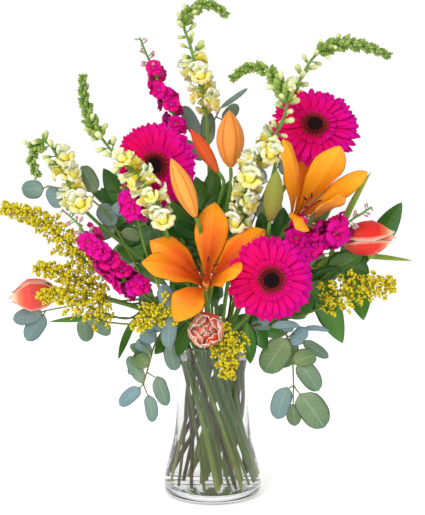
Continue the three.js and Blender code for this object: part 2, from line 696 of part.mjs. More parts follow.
// -- Gerberas: green stem with its cup, pink petals on a disc, dark centre
const GERBERA_EYE = 13;
const GERBERA_WHORLS = [
  { count: 15, core: 12, notch: 20, reach: 1, share: 0.8, height: -5.2, rise: 0.02, droop: 4,
    thick: 1.5, start: 0 },
  { count: 15, core: 12, notch: 18, reach: 0.87, share: 0.8, height: -2.6, rise: 0.16, droop: 4,
    thick: 1.5, start: 0.21 },
];
for (const [order, flower] of gerberas.entries()) {
  const facing = aim(flower.facing);
  const centre = fromList(flower.centre);
  const lead = [centre.clone().addScaledVector(facing, -36), centre.clone().addScaledVector(facing, -9)];
  const limb = mainLimb(flower, 6, 2, 0, 0, lead);
  limbs.push(limb);
  const [sideways, upward] = squareTo(facing);
  const at = (radius, angle, height) => centre.clone()
    .addScaledVector(sideways, Math.cos(angle) * radius)
    .addScaledVector(upward, Math.sin(angle) * radius)
    .addScaledVector(facing, height);
  addPiece(`${flower.name}_stem`, "stem", [limb], (grow) => join([
    stalk(limb.points, 3, 2.6, grow),
    bulb(at(0, 0, -17), at(0, 0, -7.4), [[0, 3.4], [0.5, 8], [1, 10.5]], grow, 7),
  ]));
  addPiece(`${flower.name}_centre`, "gerberaCentre", [], (grow) => {
    const rings = [[GERBERA_EYE, -0.5], [GERBERA_EYE - 0.5, 2.6], [7, 4.8]];
    const shape = rings.map(([radius, height], k) => {
      const sides = 10;
      const ring = [];
      for (let i = 0; i < sides; i += 1) {
        const bump = k === 0 ? 1 : 1 + 0.05 * (((i + k) % 2) * 2 - 1);
        ring.push(at((radius + grow) * bump, (i / sides) * Math.PI * 2, height + (k ? grow : -grow)));
      }
      return ring;
    });
    return loft([...shape, [at(0, 0, 4 + grow)]]);
  });
  addPiece(`${flower.name}_petals`, "gerbera", [], (grow) => {
    const random = makeRandom(order + 2);
    return join(GERBERA_WHORLS.map((whorl) => (
      petalWheel(at, { ...whorl, reach: flower.radius * whorl.reach }, random, grow)
    )));
  });
}

// -- Lilies: stem with leaves and branches, six swept tepals with the pistil, buds
function budSolid(foot, tip, radius, grow) {
  const profile = [[0, 3.4], [0.22, radius * 0.72], [0.5, radius], [0.8, radius * 0.62], [1, 0]];
  return bulb(foot, tip, profile, grow, 6);
}
for (const flower of lilies) {
  const facing = aim(flower.facing);
  const throat = fromList(flower.throat);
  const heart = throat.clone().addScaledVector(facing, -42);
  const lead = [heart.clone().addScaledVector(facing, -15), heart.clone().addScaledVector(facing, -0.7)];
  const limb = mainLimb(flower, 7, 2, 0, 0, lead);
  const sides = flower.branches.map((branch, i) => {
    const foot = fromList(flower.buds[i].foot);
    const back = foot.clone().sub(fromList(flower.buds[i].tip)).setLength(14).add(foot);
    return sideLimb(flower, limb, branch, 5, 2, 0, 0, [back, foot]);
  });
  limbs.push(limb, ...sides);
  addPiece(`${flower.name}_stem`, "stem", [limb, ...sides], (grow) => join([
    stalk(limb.points, 3.5, 3, grow),
    ...sides.map((side) => stalk(side.points, 2.5, 2.3, grow)),
    ...flower.buds.filter((bud) => bud.name === "").map((bud) => {
      const tip = fromList(bud.tip);
      const sunk = fromList(bud.foot).sub(tip);
      return budSolid(sunk.setLength(sunk.length() + 2).add(tip), tip, bud.radius, grow);
    }),
  ]));
  addPiece(`${flower.name}_bloom`, "lily", [], (grow) => {
    const mouth = throat.clone().addScaledVector(facing, -6);
    const parts = [bulb(heart, heart.clone().addScaledVector(facing, 14),
      [[0, 3.6], [1, 4.6]], grow, 6)];
    for (const [tipList, half, lift] of flower.tepals) {
      const tip = fromList(tipList);
      const outward = tip.clone().sub(throat);
      outward.addScaledVector(facing, -outward.dot(facing)).normalize();
      const side = facing.clone().cross(outward).normalize();
      const station = (share, width) => {
        // Three pulls: out of the heart, past the mouth, over to the tip
        const one = heart.clone().addScaledVector(outward, 3).addScaledVector(facing, 2);
        const two = mouth.clone().addScaledVector(outward, 17);
        const three = tip.clone().lerp(mouth, 0.4).addScaledVector(facing, 17);
        const a = one.lerp(two, share);
        const b = two.clone().lerp(three, share);
        const c = three.clone().lerp(tip, share);
        const point = a.lerp(b, share).lerp(b.clone().lerp(c, share), share);
        return { at: point, side, half: half * width, lift: lift * width };
      };
      parts.push(blade([
        station(0, 0.1), station(0.36, 0.28), station(0.7, 1), station(1, 0),
      ], 1.6, grow));
    }
    const pistil = [heart.clone(), throat.clone().addScaledVector(facing, -4),
      throat.clone().addScaledVector(facing, 16)];
    parts.push(stalk(pistil, 1.8, 1.1, grow));
    return join(parts);
  });
  for (const bud of flower.buds) {
    if (bud.name === "") continue;
    const foot = fromList(bud.foot);
    const tip = fromList(bud.tip);
    const axis = tip.clone().sub(foot).normalize();
    addPiece(bud.name, "lilyBud", [], (grow) => (
      budSolid(foot.clone().addScaledVector(axis, CLEARANCE + 0.1), tip, bud.radius, grow)
    ));
  }
}

// -- Leaf rows shared by the leafy plants
const LEAF_SHAPES = {
  round: { stations: [[0.06, 0.3], [0.35, 0.95], [0.76, 0.86]], thick: 1.2, lift: 0.06 },
  pointed: { stations: [[0.05, 0.2], [0.4, 1], [0.75, 0.66]], thick: 1.4, lift: 0.12 },
};
// A leaf and its short stalk in one blade, starting inside the nearest stem
function leafSolid(row, shape, stems, grow) {
  const [footList, tipList, width, twist] = row;
  const foot = fromList(footList);
  const tip = fromList(tipList);
  const along = tip.clone().sub(foot).normalize();
  const side = vec(0, -1, 0).cross(along);
  if (side.length() < 0.2) side.set(1, 0, 0);
  side.normalize().applyAxisAngle(along, (twist * Math.PI) / 180);
  const face = side.clone().cross(along).normalize();
  const { stations, thick, lift } = LEAF_SHAPES[shape];
  const bend = tip.distanceTo(foot) * 0.1;
  const rows = stations.map(([share, half]) => ({
    at: foot.clone().lerp(tip, share).addScaledVector(face, bend * 4 * share * (1 - share)),
    side,
    half: (width / 2) * half,
    lift: width * lift * half,
  }));
  rows.push({ at: tip, side, half: 0, lift: 0 });
  const root = nearestOnStems(foot, stems);
  if (root.distanceTo(foot) > 16) rows.unshift({ at: root });
  else rows[0].at = root;
  Object.assign(rows[0], { side, half: 0.8, lift: 0 });
  return blade(rows, thick, grow);
}
function nearestOnStems(foot, stems) {
  let best = null;
  for (const limb of stems) {
    for (let k = Math.max(limb.insideCount, 1); k < limb.points.length; k += 1) {
      const before = limb.points[k - 1];
      const span = limb.points[k].clone().sub(before);
      const share = foot.clone().sub(before).dot(span) / span.lengthSq();
      const spot = before.clone().addScaledVector(span, Math.min(Math.max(share, 0), 1));
      if (best === null || spot.distanceTo(foot) < best.distanceTo(foot)) best = spot;
    }
  }
  return best;
}

// -- Tulips: stem with leaves, a cup of petals
for (const flower of tulips) {
  const foot = fromList(flower.foot);
  const tip = fromList(flower.tip);
  const axis = tip.clone().sub(foot).normalize();
  const height = tip.distanceTo(foot);
  const lead = [foot.clone().addScaledVector(axis, -14), foot.clone().addScaledVector(axis, -0.2)];
  const limb = mainLimb(flower, 7, 2, 0, 0, lead);
  limbs.push(limb);
  addPiece(`${flower.name}_stem`, "stem", [limb], (grow) => join([
    stalk(limb.points, 3.5, 3.2, grow),
    ...flower.leaves.map((row) => leafSolid(row, "pointed", [limb], grow)),
  ]));
  const [sideways, upward] = squareTo(axis);
  addPiece(`${flower.name}_head`, "tulip", [], (grow) => {
    const wide = flower.radius;
    const petals = 6;
    const cup = (scale, spread, reach, turn) => {
      const side = sideways.clone().applyAxisAngle(axis, turn);
      const radii = (radius, groove) => (
        Array.from({ length: petals * 2 }, (_, i) => wide * scale * radius * (i % 2 ? groove : 1))
      );
      return trumpet(foot, axis, side, [
        { along: 1.4, radii: radii(0.26, 0.9) },
        { along: height * 0.24, radii: radii(0.84, 0.94) },
        { along: height * 0.6, radii: radii(1, 0.86) },
        { along: [height * reach, height * (reach - 0.2)], radii: radii(spread, 0.95) },
      ], height * (reach - 0.38), grow);
    };
    const parts = [cup(1, flower.opening ? 0.86 : 0.42, 0.98, 0)];
    if (flower.opening) parts.push(cup(0.62, 0.6, 0.86, 0.3));
    return join(parts);
  });
}

// -- Snapdragons: a spike of green buds that turns to two-lipped cream flowers lower down
// The budded top of the spike: whorls of three buds, each turned against the one below
function budSpike(points, length, grow) {
  const rings = [];
  let distance = length;
  let odd = 0;
  while (distance > 4) {
    const { at, along } = pointFromEnd(points, distance);
    const [sideways, upward] = squareTo(along);
    const size = 5 + Math.min(distance * 0.06, 4.6);
    rings.push(ringAround(at, sideways, upward, 2.6 + grow, 6));
    const ring = ringAround(at.clone().addScaledVector(along, 1.4), sideways, upward, 2.6 + grow, 6);
    for (let i = odd; i < 6; i += 2) {
      ring[i].addScaledVector(ring[i].clone().sub(at).normalize(), size - 2.6)
        .addScaledVector(along, size * 0.42);
    }
    rings.push(ring);
    odd = 1 - odd;
    distance -= 5.8 + distance * 0.04;
  }
  const { at, along } = pointFromEnd(points, 0);
  return loft([...rings, [at.clone().addScaledVector(along, 3 + grow)]]);
}
function snapdragonFlowers(points, flower, seed, grow) {
  const random = makeRandom(seed);
  const parts = [budSpike(points, flower.buds, grow)];
  let distance = flower.buds + 2;
  let turn = random() * 6;
  while (distance < flower.flowers) {
    const { at, along } = pointFromEnd(points, distance);
    const [sideways, upward] = squareTo(along);
    turn += GOLDEN_ANGLE;
    const out = sideways.clone().multiplyScalar(Math.cos(turn)).addScaledVector(upward, Math.sin(turn));
    const swing = random();
    const lean = out.clone().addScaledVector(along, 0.25 - 0.3 * swing).normalize();
    const foot = at.clone().addScaledVector(lean, 0.5);
    const upper = along.clone().addScaledVector(lean, -along.dot(lean)).normalize();
    const reach = 17 + 4 * swing;
    // Upper lip first, then round past the wide lower lip
    parts.push(trumpet(foot, lean, upper, [
      { along: reach * 0.55, radii: [3.6, 4, 4, 3.6, 4, 4] },
      { along: [reach, reach * 0.9, reach, reach * 1.12, reach, reach * 0.9],
        radii: [10, 6, 9, 10.5, 9, 6] },
    ], reach * 0.8, grow));
    distance += 12;
  }
  return parts;
}
for (const [order, flower] of snapdragons.entries()) {
  const limb = mainLimb(flower, 5.5, 0, 6, 7);
  limbs.push(limb);
  addPiece(flower.name, "snapdragon", [limb], (grow) => join([
    stalk(pointsBelow(limb.points, flower.buds - 2), 2.8, 2, grow),
    ...snapdragonFlowers(limb.points, flower, order + 11, grow),
  ]));
}

// -- Stocks: ruffled four-petal flowers round a stem that ends in pale buds
function stockFlowers(points, length, size, seed, grow) {
  const random = makeRandom(seed);
  const parts = [];
  let distance = 2;
  let turn = random() * 6;
  while (distance < length) {
    const { at, along } = pointFromEnd(points, distance);
    const [sideways, upward] = squareTo(along);
    turn += GOLDEN_ANGLE;
    const out = sideways.clone().multiplyScalar(Math.cos(turn)).addScaledVector(upward, Math.sin(turn));
    const lean = out.clone().addScaledVector(along, 0.35).normalize();
    if (distance < length * 0.33) {
      const foot = at.clone().addScaledVector(lean, 0.3);
      parts.push(bead(foot, foot.clone().addScaledVector(lean, 9 + distance * 0.06), 2.8, grow, 3));
      distance += 7;
      continue;
    }
    const reach = 7 + size * 0.45;
    const spread = size * (0.95 + 0.2 * random());
    const [across] = squareTo(lean);
    const spoke = across.clone().applyAxisAngle(lean, turn);
    parts.push(trumpet(at, lean, spoke, [
      { along: reach * 0.7, radii: Array(8).fill(2.6) },
      { along: [reach + 1.5, reach - 1], radii: [0, 1, 2, 3].flatMap(() => [spread, spread * 0.5]) },
    ], reach - 1.2, grow));
    distance += size * 1.3;
  }
  return parts;
}
for (const flower of stocks) {
  const limb = mainLimb(flower, 6, 0, 8, 4);
  const sides = flower.branches.map((branch) => sideLimb(flower, limb, branch, 4, 0, 5, 1));
  limbs.push(limb, ...sides);
  addPiece(flower.name, "stock", [limb, ...sides], (grow) => join([
    stalk(limb.points, 3, 1.2, grow),
    ...sides.map((side) => stalk(side.points, 2, 1.2, grow)),
    ...stockFlowers(limb.points, flower.flowers, flower.size, flower.seed, grow),
    ...sides.flatMap((side, i) => stockFlowers(side.points, flower.branches[i].flowers,
      flower.branches[i].size, flower.seed + 20 + i, grow)),
  ]));
}

// -- Goldenrod: plumes of arched side sprays set with small yellow heads
function goldenrodPlume(points, length, reach, seed, grow) {
  const random = makeRandom(seed);
  const parts = [];
  let distance = 3;
  let turn = random() * 6;
  while (distance < length) {
    const { at, along } = pointFromEnd(points, distance);
    const [sideways, upward] = squareTo(along);
    turn += GOLDEN_ANGLE;
    const out = sideways.clone().multiplyScalar(Math.cos(turn)).addScaledVector(upward, Math.sin(turn));
    const size = reach * (0.35 + 0.65 * Math.min(distance / (length * 0.55), 1)) * (0.85 + 0.3 * random());
    const end = at.clone().addScaledVector(out, size).addScaledVector(along, size * 0.5);
    end.z -= size * 0.1;
    const fat = Math.min(3.4, size * 0.21);
    parts.push(bulb(at, end, [[0, 0.9], [0.62, fat], [1, 0]], grow, 3));
    distance += 11;
  }
  return parts;
}
for (const [order, spray] of goldenrods.entries()) {
  const limb = mainLimb(spray, 4, 0, 6, 4);
  const sides = spray.branches.map((branch) => sideLimb(spray, limb, branch, 3, 0, 6, 3));
  limbs.push(limb, ...sides);
  addPiece(spray.name, "goldenrod", [limb, ...sides], (grow) => join([
    stalk(limb.points, 2, 1.2, grow),
    ...sides.map((side) => stalk(side.points, 1.5, 1, grow)),
    ...[limb, ...sides].flatMap((one, i) => (
      goldenrodPlume(one.points, spray.flowers * (i ? 0.66 : 1), spray.reach, order * 5 + i + 31, grow)
    )),
  ]));
}

// -- Eucalyptus and broad-leaved branches
for (const spray of sprays) {
  const limb = mainLimb(spray, 4, 0, 2, 2);
  const sides = spray.branches.map((branch) => sideLimb(spray, limb, branch, 3, 0, 2, 2));
  limbs.push(limb, ...sides);
  const stems = [limb, ...sides];
  addPiece(spray.name, spray.colour, stems, (grow) => join([
    stalk(limb.points, 2, 1.2, grow),
    ...sides.map((side) => stalk(side.points, 1.5, 1, grow)),
    ...spray.leaves.map((row) => leafSolid(row, spray.shape, stems, grow)),
  ]));
}

easeApart(limbs);

// ---- Vase and water --------------------------------------------------------------
function turned(profile) {
  const outline = profile.map(([radius, height]) => new THREE.Vector2(radius, height));
  const lathe = new THREE.LatheGeometry(outline, ROUND_SIDES);
  lathe.deleteAttribute("normal");
  lathe.deleteAttribute("uv");
  lathe.rotateX(Math.PI / 2);
  const shell = mergeVertices(lathe);
  const place = shell.getAttribute("position");
  const points = Array.from({ length: place.count }, (_, i) => (
    new THREE.Vector3().fromBufferAttribute(place, i)
  ));
  const corners = shell.getIndex().array;
  const triangles = [];
  for (let i = 0; i < corners.length; i += 3) {
    const [a, b, c] = [corners[i], corners[i + 1], corners[i + 2]];
    if (a !== b && b !== c && c !== a) triangles.push([a, b, c]);
  }
  return solidFrom(points, triangles);
}
const innerHeights = [BASE_THICKNESS + 6, 35, 58, 82, 112, 145];
const innerWall = innerHeights.map((height) => [innerRadius(height), height]);
const topRadius = VASE_OUTER[VASE_OUTER.length - 1][0];
const topHeight = VASE_OUTER[VASE_OUTER.length - 1][1];
const glass = turned([
  [0, 0], ...VASE_OUTER.slice(0, -1),
  [topRadius, topHeight - 1.2], [topRadius - 1.2, topHeight], [topRadius - WALL, topHeight - 1],
  ...innerWall.slice().reverse(),
  [innerWall[0][0] - 5, BASE_THICKNESS], [0, BASE_THICKNESS],
]);
const filled = innerWall.map(([radius, height]) => [radius - CLEARANCE, height]);
const waterBody = turned([
  [0, BASE_THICKNESS + CLEARANCE], [innerWall[0][0] - 5.3, BASE_THICKNESS + CLEARANCE], ...filled,
  [innerRadius(WATER_LEVEL) - CLEARANCE, WATER_LEVEL], [0, WATER_LEVEL],
]);

// ---- Settling: stems first, then flowers, then leaves give way to what is there ----
function boxesMeet(a, b) {
  const one = a.boundingBox();
  const two = b.boundingBox();
  return [0, 1, 2].every((i) => one.min[i] < two.max[i] && two.min[i] < one.max[i]);
}
function largest(solid) {
  const bodies = solid.decompose();
  return bodies.reduce((a, b) => (b.volume() > a.volume() ? b : a));
}
function stemKeep(limb, grow) {
  return stalk(limb.points, limb.thick / 2, limb.thick / 2, grow);
}

const ORDER = [
  /^gerbera.*_stem/, /^lily.*_stem/, /^tulip.*_stem/, /_centre$/, /_petals$/, /_bloom$/, /_head$/,
  /^lily_bud/, /^snapdragon/, /^stock/, /^goldenrod/, /^eucalyptus/, /^leaves/,
];
const rank = (name) => ORDER.findIndex((pattern) => pattern.test(name));
const settledOrder = pieces.slice().sort((a, b) => rank(a.name) - rank(b.name));

const keptStems = limbs.map((limb) => ({ limb, keep: stemKeep(limb, CLEARANCE) }));
const taken = [glass];
const solids = [["vase", "glass", glass]];
for (const piece of settledOrder) {
  let body = piece.make(0);
  for (const { limb, keep } of keptStems) {
    if (!piece.stems.includes(limb) && boxesMeet(body, keep)) body = body.subtract(keep);
  }
  for (const keep of taken) {
    if (keep !== glass && boxesMeet(body, keep)) body = body.subtract(keep);
  }
  body = largest(body);
  solids.push([piece.name, piece.colour, body]);
  taken.push(piece.make(CLEARANCE));
}
let water = waterBody;
for (const { keep } of keptStems) water = water.subtract(keep);
solids.push(["water", "water", largest(water)]);

// ---- The group -------------------------------------------------------------------
const ROUGHNESS = { glass: 0.05, water: 0.02, gerberaCentre: 0.8, eucalyptus: 0.7, leaf: 0.45 };
const group = new THREE.Group();
group.name = "gerberas_in_a_vase";
for (const [name, colour, solid] of solids) {
  const mesh = solid.getMesh();
  const geometry = new THREE.BufferGeometry();
  geometry.setAttribute("position", new THREE.BufferAttribute(new Float32Array(mesh.vertProperties), 3));
  geometry.setIndex(new THREE.BufferAttribute(new Uint32Array(mesh.triVerts), 1));
  geometry.computeVertexNormals();
  const material = new THREE.MeshStandardMaterial({
    color: COLOUR[colour],
    roughness: ROUGHNESS[colour] ?? 0.6,
    metalness: 0,
    transparent: colour === "glass" || colour === "water",
    opacity: colour === "glass" || colour === "water" ? 0.35 : 1,
  });
  const item = new THREE.Mesh(geometry, material);
  item.name = name;
  group.add(item);
}

export default group;
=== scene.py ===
"""A mixed bouquet led by three hot-pink gerberas, standing in a flared glass vase of water.

Shapes are worked out in millimetres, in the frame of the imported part, and turned to metres
when a mesh is made. +Z is up, the front faces -Y and the vase stands centred on the origin.
"""
import json
import logging
import math
from dataclasses import dataclass, field
from enum import Enum
from typing import Any, Iterable, Sequence

import bpy
import numpy as np
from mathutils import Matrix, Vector

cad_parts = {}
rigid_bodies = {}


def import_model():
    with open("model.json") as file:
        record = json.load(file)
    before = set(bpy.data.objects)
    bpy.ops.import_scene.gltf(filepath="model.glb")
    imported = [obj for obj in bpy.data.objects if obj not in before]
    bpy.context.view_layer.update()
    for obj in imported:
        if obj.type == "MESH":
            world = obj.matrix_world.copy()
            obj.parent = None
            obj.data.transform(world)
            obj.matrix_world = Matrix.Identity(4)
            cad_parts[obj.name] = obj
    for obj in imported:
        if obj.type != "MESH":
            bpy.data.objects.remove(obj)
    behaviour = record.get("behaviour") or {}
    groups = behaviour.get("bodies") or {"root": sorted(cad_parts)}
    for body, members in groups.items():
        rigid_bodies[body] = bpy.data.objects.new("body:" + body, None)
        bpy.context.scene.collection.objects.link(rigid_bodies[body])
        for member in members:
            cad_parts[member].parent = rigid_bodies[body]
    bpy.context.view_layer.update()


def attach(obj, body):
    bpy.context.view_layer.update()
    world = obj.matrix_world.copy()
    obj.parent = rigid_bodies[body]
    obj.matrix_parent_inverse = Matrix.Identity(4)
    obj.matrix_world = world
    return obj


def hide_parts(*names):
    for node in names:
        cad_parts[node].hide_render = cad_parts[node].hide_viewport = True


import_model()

LOG = logging.getLogger("bouquet")
MM = 0.001
Array = np.ndarray
Triple = Sequence[float]

# Vase and routing sizes, in millimetres
VASE_OUTER = np.array([
    (57.0, 0.0), (62.5, 3.0), (65.0, 13.0), (62.0, 35.0), (56.0, 58.0), (51.0, 82.0),
    (48.2, 112.0), (48.4, 145.0), (51.0, 203.0),
])
WALL = 3.0
BASE_THICKNESS = 10.0
WATER_LEVEL = 184.0
FOOT_HEIGHT = 15.0
LIP_HEIGHT = 214.0
SPIRAL_TURN = 1.66
FOOT_SPREAD = 1.25
LIP_SPREAD = 1.12
STATION_SPACING = 105.0
STEM_GAP = 1.4
STEM_RING = 7.0

# How stems are eased apart: rounds, the share of an overlap and the most millimetres that one
# round moves a station, and the gap left to the glass
EASE_ROUNDS = 160
EASE_SHARE = 0.3
EASE_MOST = 3.0
GLASS_GAP = 1.5
GOLDEN_ANGLE = 2.39996


class Seeded:
    """A steady stream of numbers from 0 to 1, the same on every run."""

    FACTOR = 16807
    PRIME = 2147483647
    SPREAD = 7919
    SHIFT = 17

    def __init__(self, seed: int) -> None:
        """Starts the stream.

        Args:
            seed: whole number that picks the stream.
        """
        self.state = seed * self.SPREAD + self.SHIFT

    def __call__(self) -> float:
        """Gives the next number: the state times FACTOR, kept under PRIME, as a share of it."""
        self.state = (self.state * self.FACTOR) % self.PRIME
        return self.state / self.PRIME

    def row(self, count: int, low: float = 0.0, high: float = 1.0) -> Array:
        """Gives the next numbers as an array, spread from low to high.

        Args:
            count: how many numbers.
            low: value that 0 stands for.
            high: value that 1 stands for.

        Returns:
            Array of shape (count,).
        """
        return low + (high - low) * np.array([self() for _ in range(count)])


# ---- Vectors ----------------------------------------------------------------------

def vec(values: Triple) -> Array:
    """Gives a list of three numbers as an array."""
    return np.array(values, dtype=float)


def unit(v: Array) -> Array:
    """Scales vectors along the last axis to length 1."""
    return v / np.maximum(np.linalg.norm(v, axis=-1, keepdims=True), 1e-9)


def square_to(axis: Array) -> tuple[Array, Array]:
    """Finds two directions square to an axis: sideways is helper x axis, upward axis x sideways.

    Args:
        axis: unit vectors, shape (..., 3); the helper is Z, or Y where the axis is near Z.

    Returns:
        The sideways and upward unit vectors.
    """
    steep = np.abs(axis[..., 2:3]) >= 0.9
    helper = np.where(steep, vec((0, 1, 0)), vec((0, 0, 1)))
    sideways = unit(np.cross(helper, axis))
    return sideways, unit(np.cross(axis, sideways))


def turn_about(v: Array, axis: Array, angle: Array | float) -> Array:
    """Turns v about a unit axis: v cos + (axis x v) sin + axis (axis . v)(1 - cos).

    Args:
        v: vectors, shape (..., 3).
        axis: unit vectors of the same shape.
        angle: turns in radians, shape (...).

    Returns:
        The turned vectors.
    """
    angle = np.asarray(angle, dtype=float)[..., None]
    along = (axis * v).sum(-1, keepdims=True)
    cos, sin = np.cos(angle), np.sin(angle)
    return v * cos + np.cross(axis, v) * sin + axis * along * (1 - cos)


def heading(foot: Triple, tip: Triple) -> Array:
    """Gives the unit direction from a foot to a tip."""
    return unit(vec(tip) - vec(foot))


def ease(x: Array | float, low: float, high: float) -> Array:
    """Smooth step from 0 at low to 1 at high: 3s^2 - 2s^3."""
    s = np.clip((np.asarray(x, dtype=float) - low) / (high - low), 0, 1)
    return s * s * (3 - 2 * s)


class SmoothLine:
    """A smooth line through knots, in cubic pieces that agree in slope where they join."""

    def __init__(self, knots: Array) -> None:
        """Measures the spans, and the slope at each knot from the knot before to the one after.

        Args:
            knots: points, shape (k, 3).
        """
        self.knots = knots
        self.spans = np.maximum(np.linalg.norm(np.diff(knots, axis=0), axis=1), 1e-6)
        self.times = np.concatenate([[0], np.cumsum(self.spans)])
        low = np.maximum(np.arange(len(knots)) - 1, 0)
        high = np.minimum(np.arange(len(knots)) + 1, len(knots) - 1)
        self.slopes = (knots[high] - knots[low]) / (self.times[high] - self.times[low])[:, None]

    def points(self, i: Array, share: Array) -> Array:
        """Finds points on the cubic pieces, each set by its two knots and the slopes there.

        Args:
            i: the knot before each point, shape (n,).
            share: place between that knot and the next, 0 to 1, shape (n,).

        Returns:
            The points, shape (n, 3).
        """
        span, t = self.spans[i][:, None], share[:, None]
        knots, slopes = self.knots, self.slopes
        return (
            knots[i] * (2 * t**3 - 3 * t**2 + 1) + slopes[i] * (t**3 - 2 * t**2 + t) * span
            + knots[i + 1] * (3 * t**2 - 2 * t**3) + slopes[i + 1] * (t**3 - t**2) * span
        )


def follow(knots: Array, step: float) -> tuple[Array, Array]:
    """Cuts the smooth line through knots into pieces about a step long.

    Args:
        knots: points, shape (k, 3).
        step: length of a piece, in millimetres.

    Returns:
        The points of the line, and for each its place counted in knots.
    """
    line = SmoothLine(knots)
    total = max(int(round(line.times[-1] / step)), len(knots))
    where = np.linspace(0, line.times[-1], total + 1)
    i = np.clip(np.searchsorted(line.times, where, side="right") - 1, 0, len(line.spans) - 1)
    share = (where - line.times[i]) / line.spans[i]
    return line.points(i, share), i + share


def frames_along(points: Array, side: Array | None = None) -> tuple[Array, Array, Array]:
    """Carries a pair of square directions along rows of points without twist.

    Each row's side vector is the one before it, less its part along the new direction.

    Args:
        points: rows of points, shape (p, n, 3).
        side: first side vectors, shape (p, 3), or None for any.

    Returns:
        Unit vectors along, sideways and upward, each of shape (p, n, 3).
    """
    along = unit(np.gradient(points, axis=1))
    first = square_to(along[:, 0])[0] if side is None else side
    sides = np.empty_like(points)
    for k in range(points.shape[1]):
        first = unit(first - along[:, k] * (along[:, k] * first).sum(-1, keepdims=True))
        sides[:, k] = first
    return along, sides, np.cross(along, sides)


# ---- Shapes -----------------------------------------------------------------------

@dataclass
class Shape:
    """A closed surface of four- and three-cornered faces.

    uv holds how far a point is along its petal, leaf or stem and across it, and look holds
    the petal's own chance number and 1 on its underside.
    """

    points: Array
    quads: Array
    tris: Array
    uv: Array
    look: Array

    def placed(self, origins: Array, axes: Array, ups: Array, sizes: Array, chance: Array) -> "Shape":
        """Repeats the shape: its z goes along axes, its x along ups, its length times sizes.

        Args:
            origins: places, shape (c, 3).
            axes: directions for the shape's z, shape (c, 3).
            ups: rough directions for its x, shape (c, 3).
            sizes: scales, shape (c,) or (c, 3) for x, y and z.
            chance: number kept in every copy's look, shape (c,).

        Returns:
            One shape of all the copies.
        """
        z = unit(axes)
        x = unit(ups - z * (ups * z).sum(-1, keepdims=True))
        turned = np.stack([x, np.cross(z, x), z], axis=1)
        sizes = np.asarray(sizes, dtype=float)
        sizes = sizes.reshape(len(origins), 1, -1)
        points = (self.points[None] * sizes) @ turned + origins[:, None]
        return bodies(points, self.quads, self.tris, self.uv, chance, self.look[:, 1])

    def once(self, origin: Array, axis: Array, up: Array, chance: float) -> "Shape":
        """Gives a single copy of the shape's own size, set as placed sets its copies."""
        return self.placed(origin[None], axis[None], up[None], np.ones(1), np.full(1, chance))


def bodies(points: Array, quads: Array, tris: Array, uv: Array, chance: Array, under: Array) -> Shape:
    """Joins bodies that share their faces: each one's corners count on from the body before.

    Args:
        points: shape (p, n, 3) for p bodies.
        quads: four-cornered faces of one body.
        tris: three-cornered faces of one body.
        uv: uv of one body, shape (n, 2).
        chance: one number for each body, shape (p,).
        under: 1 on the underside of a body and 0 elsewhere, shape (n,).

    Returns:
        The shape of all the bodies.
    """
    p, n, _ = points.shape
    shift = (np.arange(p) * n)[:, None, None]
    return Shape(
        points.reshape(-1, 3), (quads[None] + shift).reshape(-1, 4),
        (tris[None] + shift).reshape(-1, 3), np.tile(uv, (p, 1)),
        np.stack([np.repeat(chance, n), np.tile(under, p)], axis=-1),
    )


def strips(rings: int, sides: int) -> Array:
    """Lists the four-cornered faces between rings: two neighbours and the two above them.

    Args:
        rings: how many rings.
        sides: points in a ring.

    Returns:
        Corners, shape ((rings - 1) x sides, 4).
    """
    row = np.arange(rings - 1)[:, None] * sides
    a = np.arange(sides)[None, :]
    b = (a + 1) % sides
    return np.stack([row + a, row + b, row + sides + b, row + sides + a], axis=-1).reshape(-1, 4)


def caps(rings: int, sides: int) -> Array:
    """Lists the triangles that close the end rings to a foot and a top point after the rings.

    Args:
        rings: how many rings.
        sides: points in a ring.

    Returns:
        Corners, shape (2 x sides, 3).
    """
    a = np.arange(sides)
    b = (a + 1) % sides
    foot, last = rings * sides, (rings - 1) * sides
    low = np.stack([np.full(sides, foot), b, a], axis=-1)
    high = np.stack([np.full(sides, foot + 1), a + last, b + last], axis=-1)
    return np.concatenate([low, high])


def shells(front: Array, back: Array, chance: Array) -> Shape:
    """Closes pairs of grids into thin bodies: they share their first and last columns.

    Around each row runs a ring: the front from edge to edge, then the back the other way.
    Strips of faces close the two end rows.

    Args:
        front: upper faces, shape (p, n, k, 3).
        back: lower faces, the same shape.
        chance: one number for each body, shape (p,).

    Returns:
        The closed shape.
    """
    p, n, k, _ = front.shape
    ring = 2 * k - 2
    points = np.concatenate([front, back[:, :, -2:0:-1]], axis=2)
    j = np.arange(1, k - 2)
    rim = np.stack([j, (ring - j) % ring, (ring - j - 1) % ring, j + 1], axis=-1)
    ends = np.array([[0, ring - 1, 1], [k - 1, k - 2, k]])
    last = (n - 1) * ring
    quads = np.concatenate([strips(n, ring), rim, rim[:, ::-1] + last])
    tris = np.concatenate([ends, ends[:, ::-1] + last])
    across = np.linspace(0, 1, k)
    v = np.concatenate([across, across[-2:0:-1]])
    under = np.concatenate([np.zeros(k), np.ones(k - 2)])
    uv = np.stack(np.broadcast_arrays(np.linspace(0, 1, n)[:, None], v[None]), axis=-1)
    return bodies(points.reshape(p, -1, 3), quads, tris, uv.reshape(-1, 2), chance, np.tile(under, n))


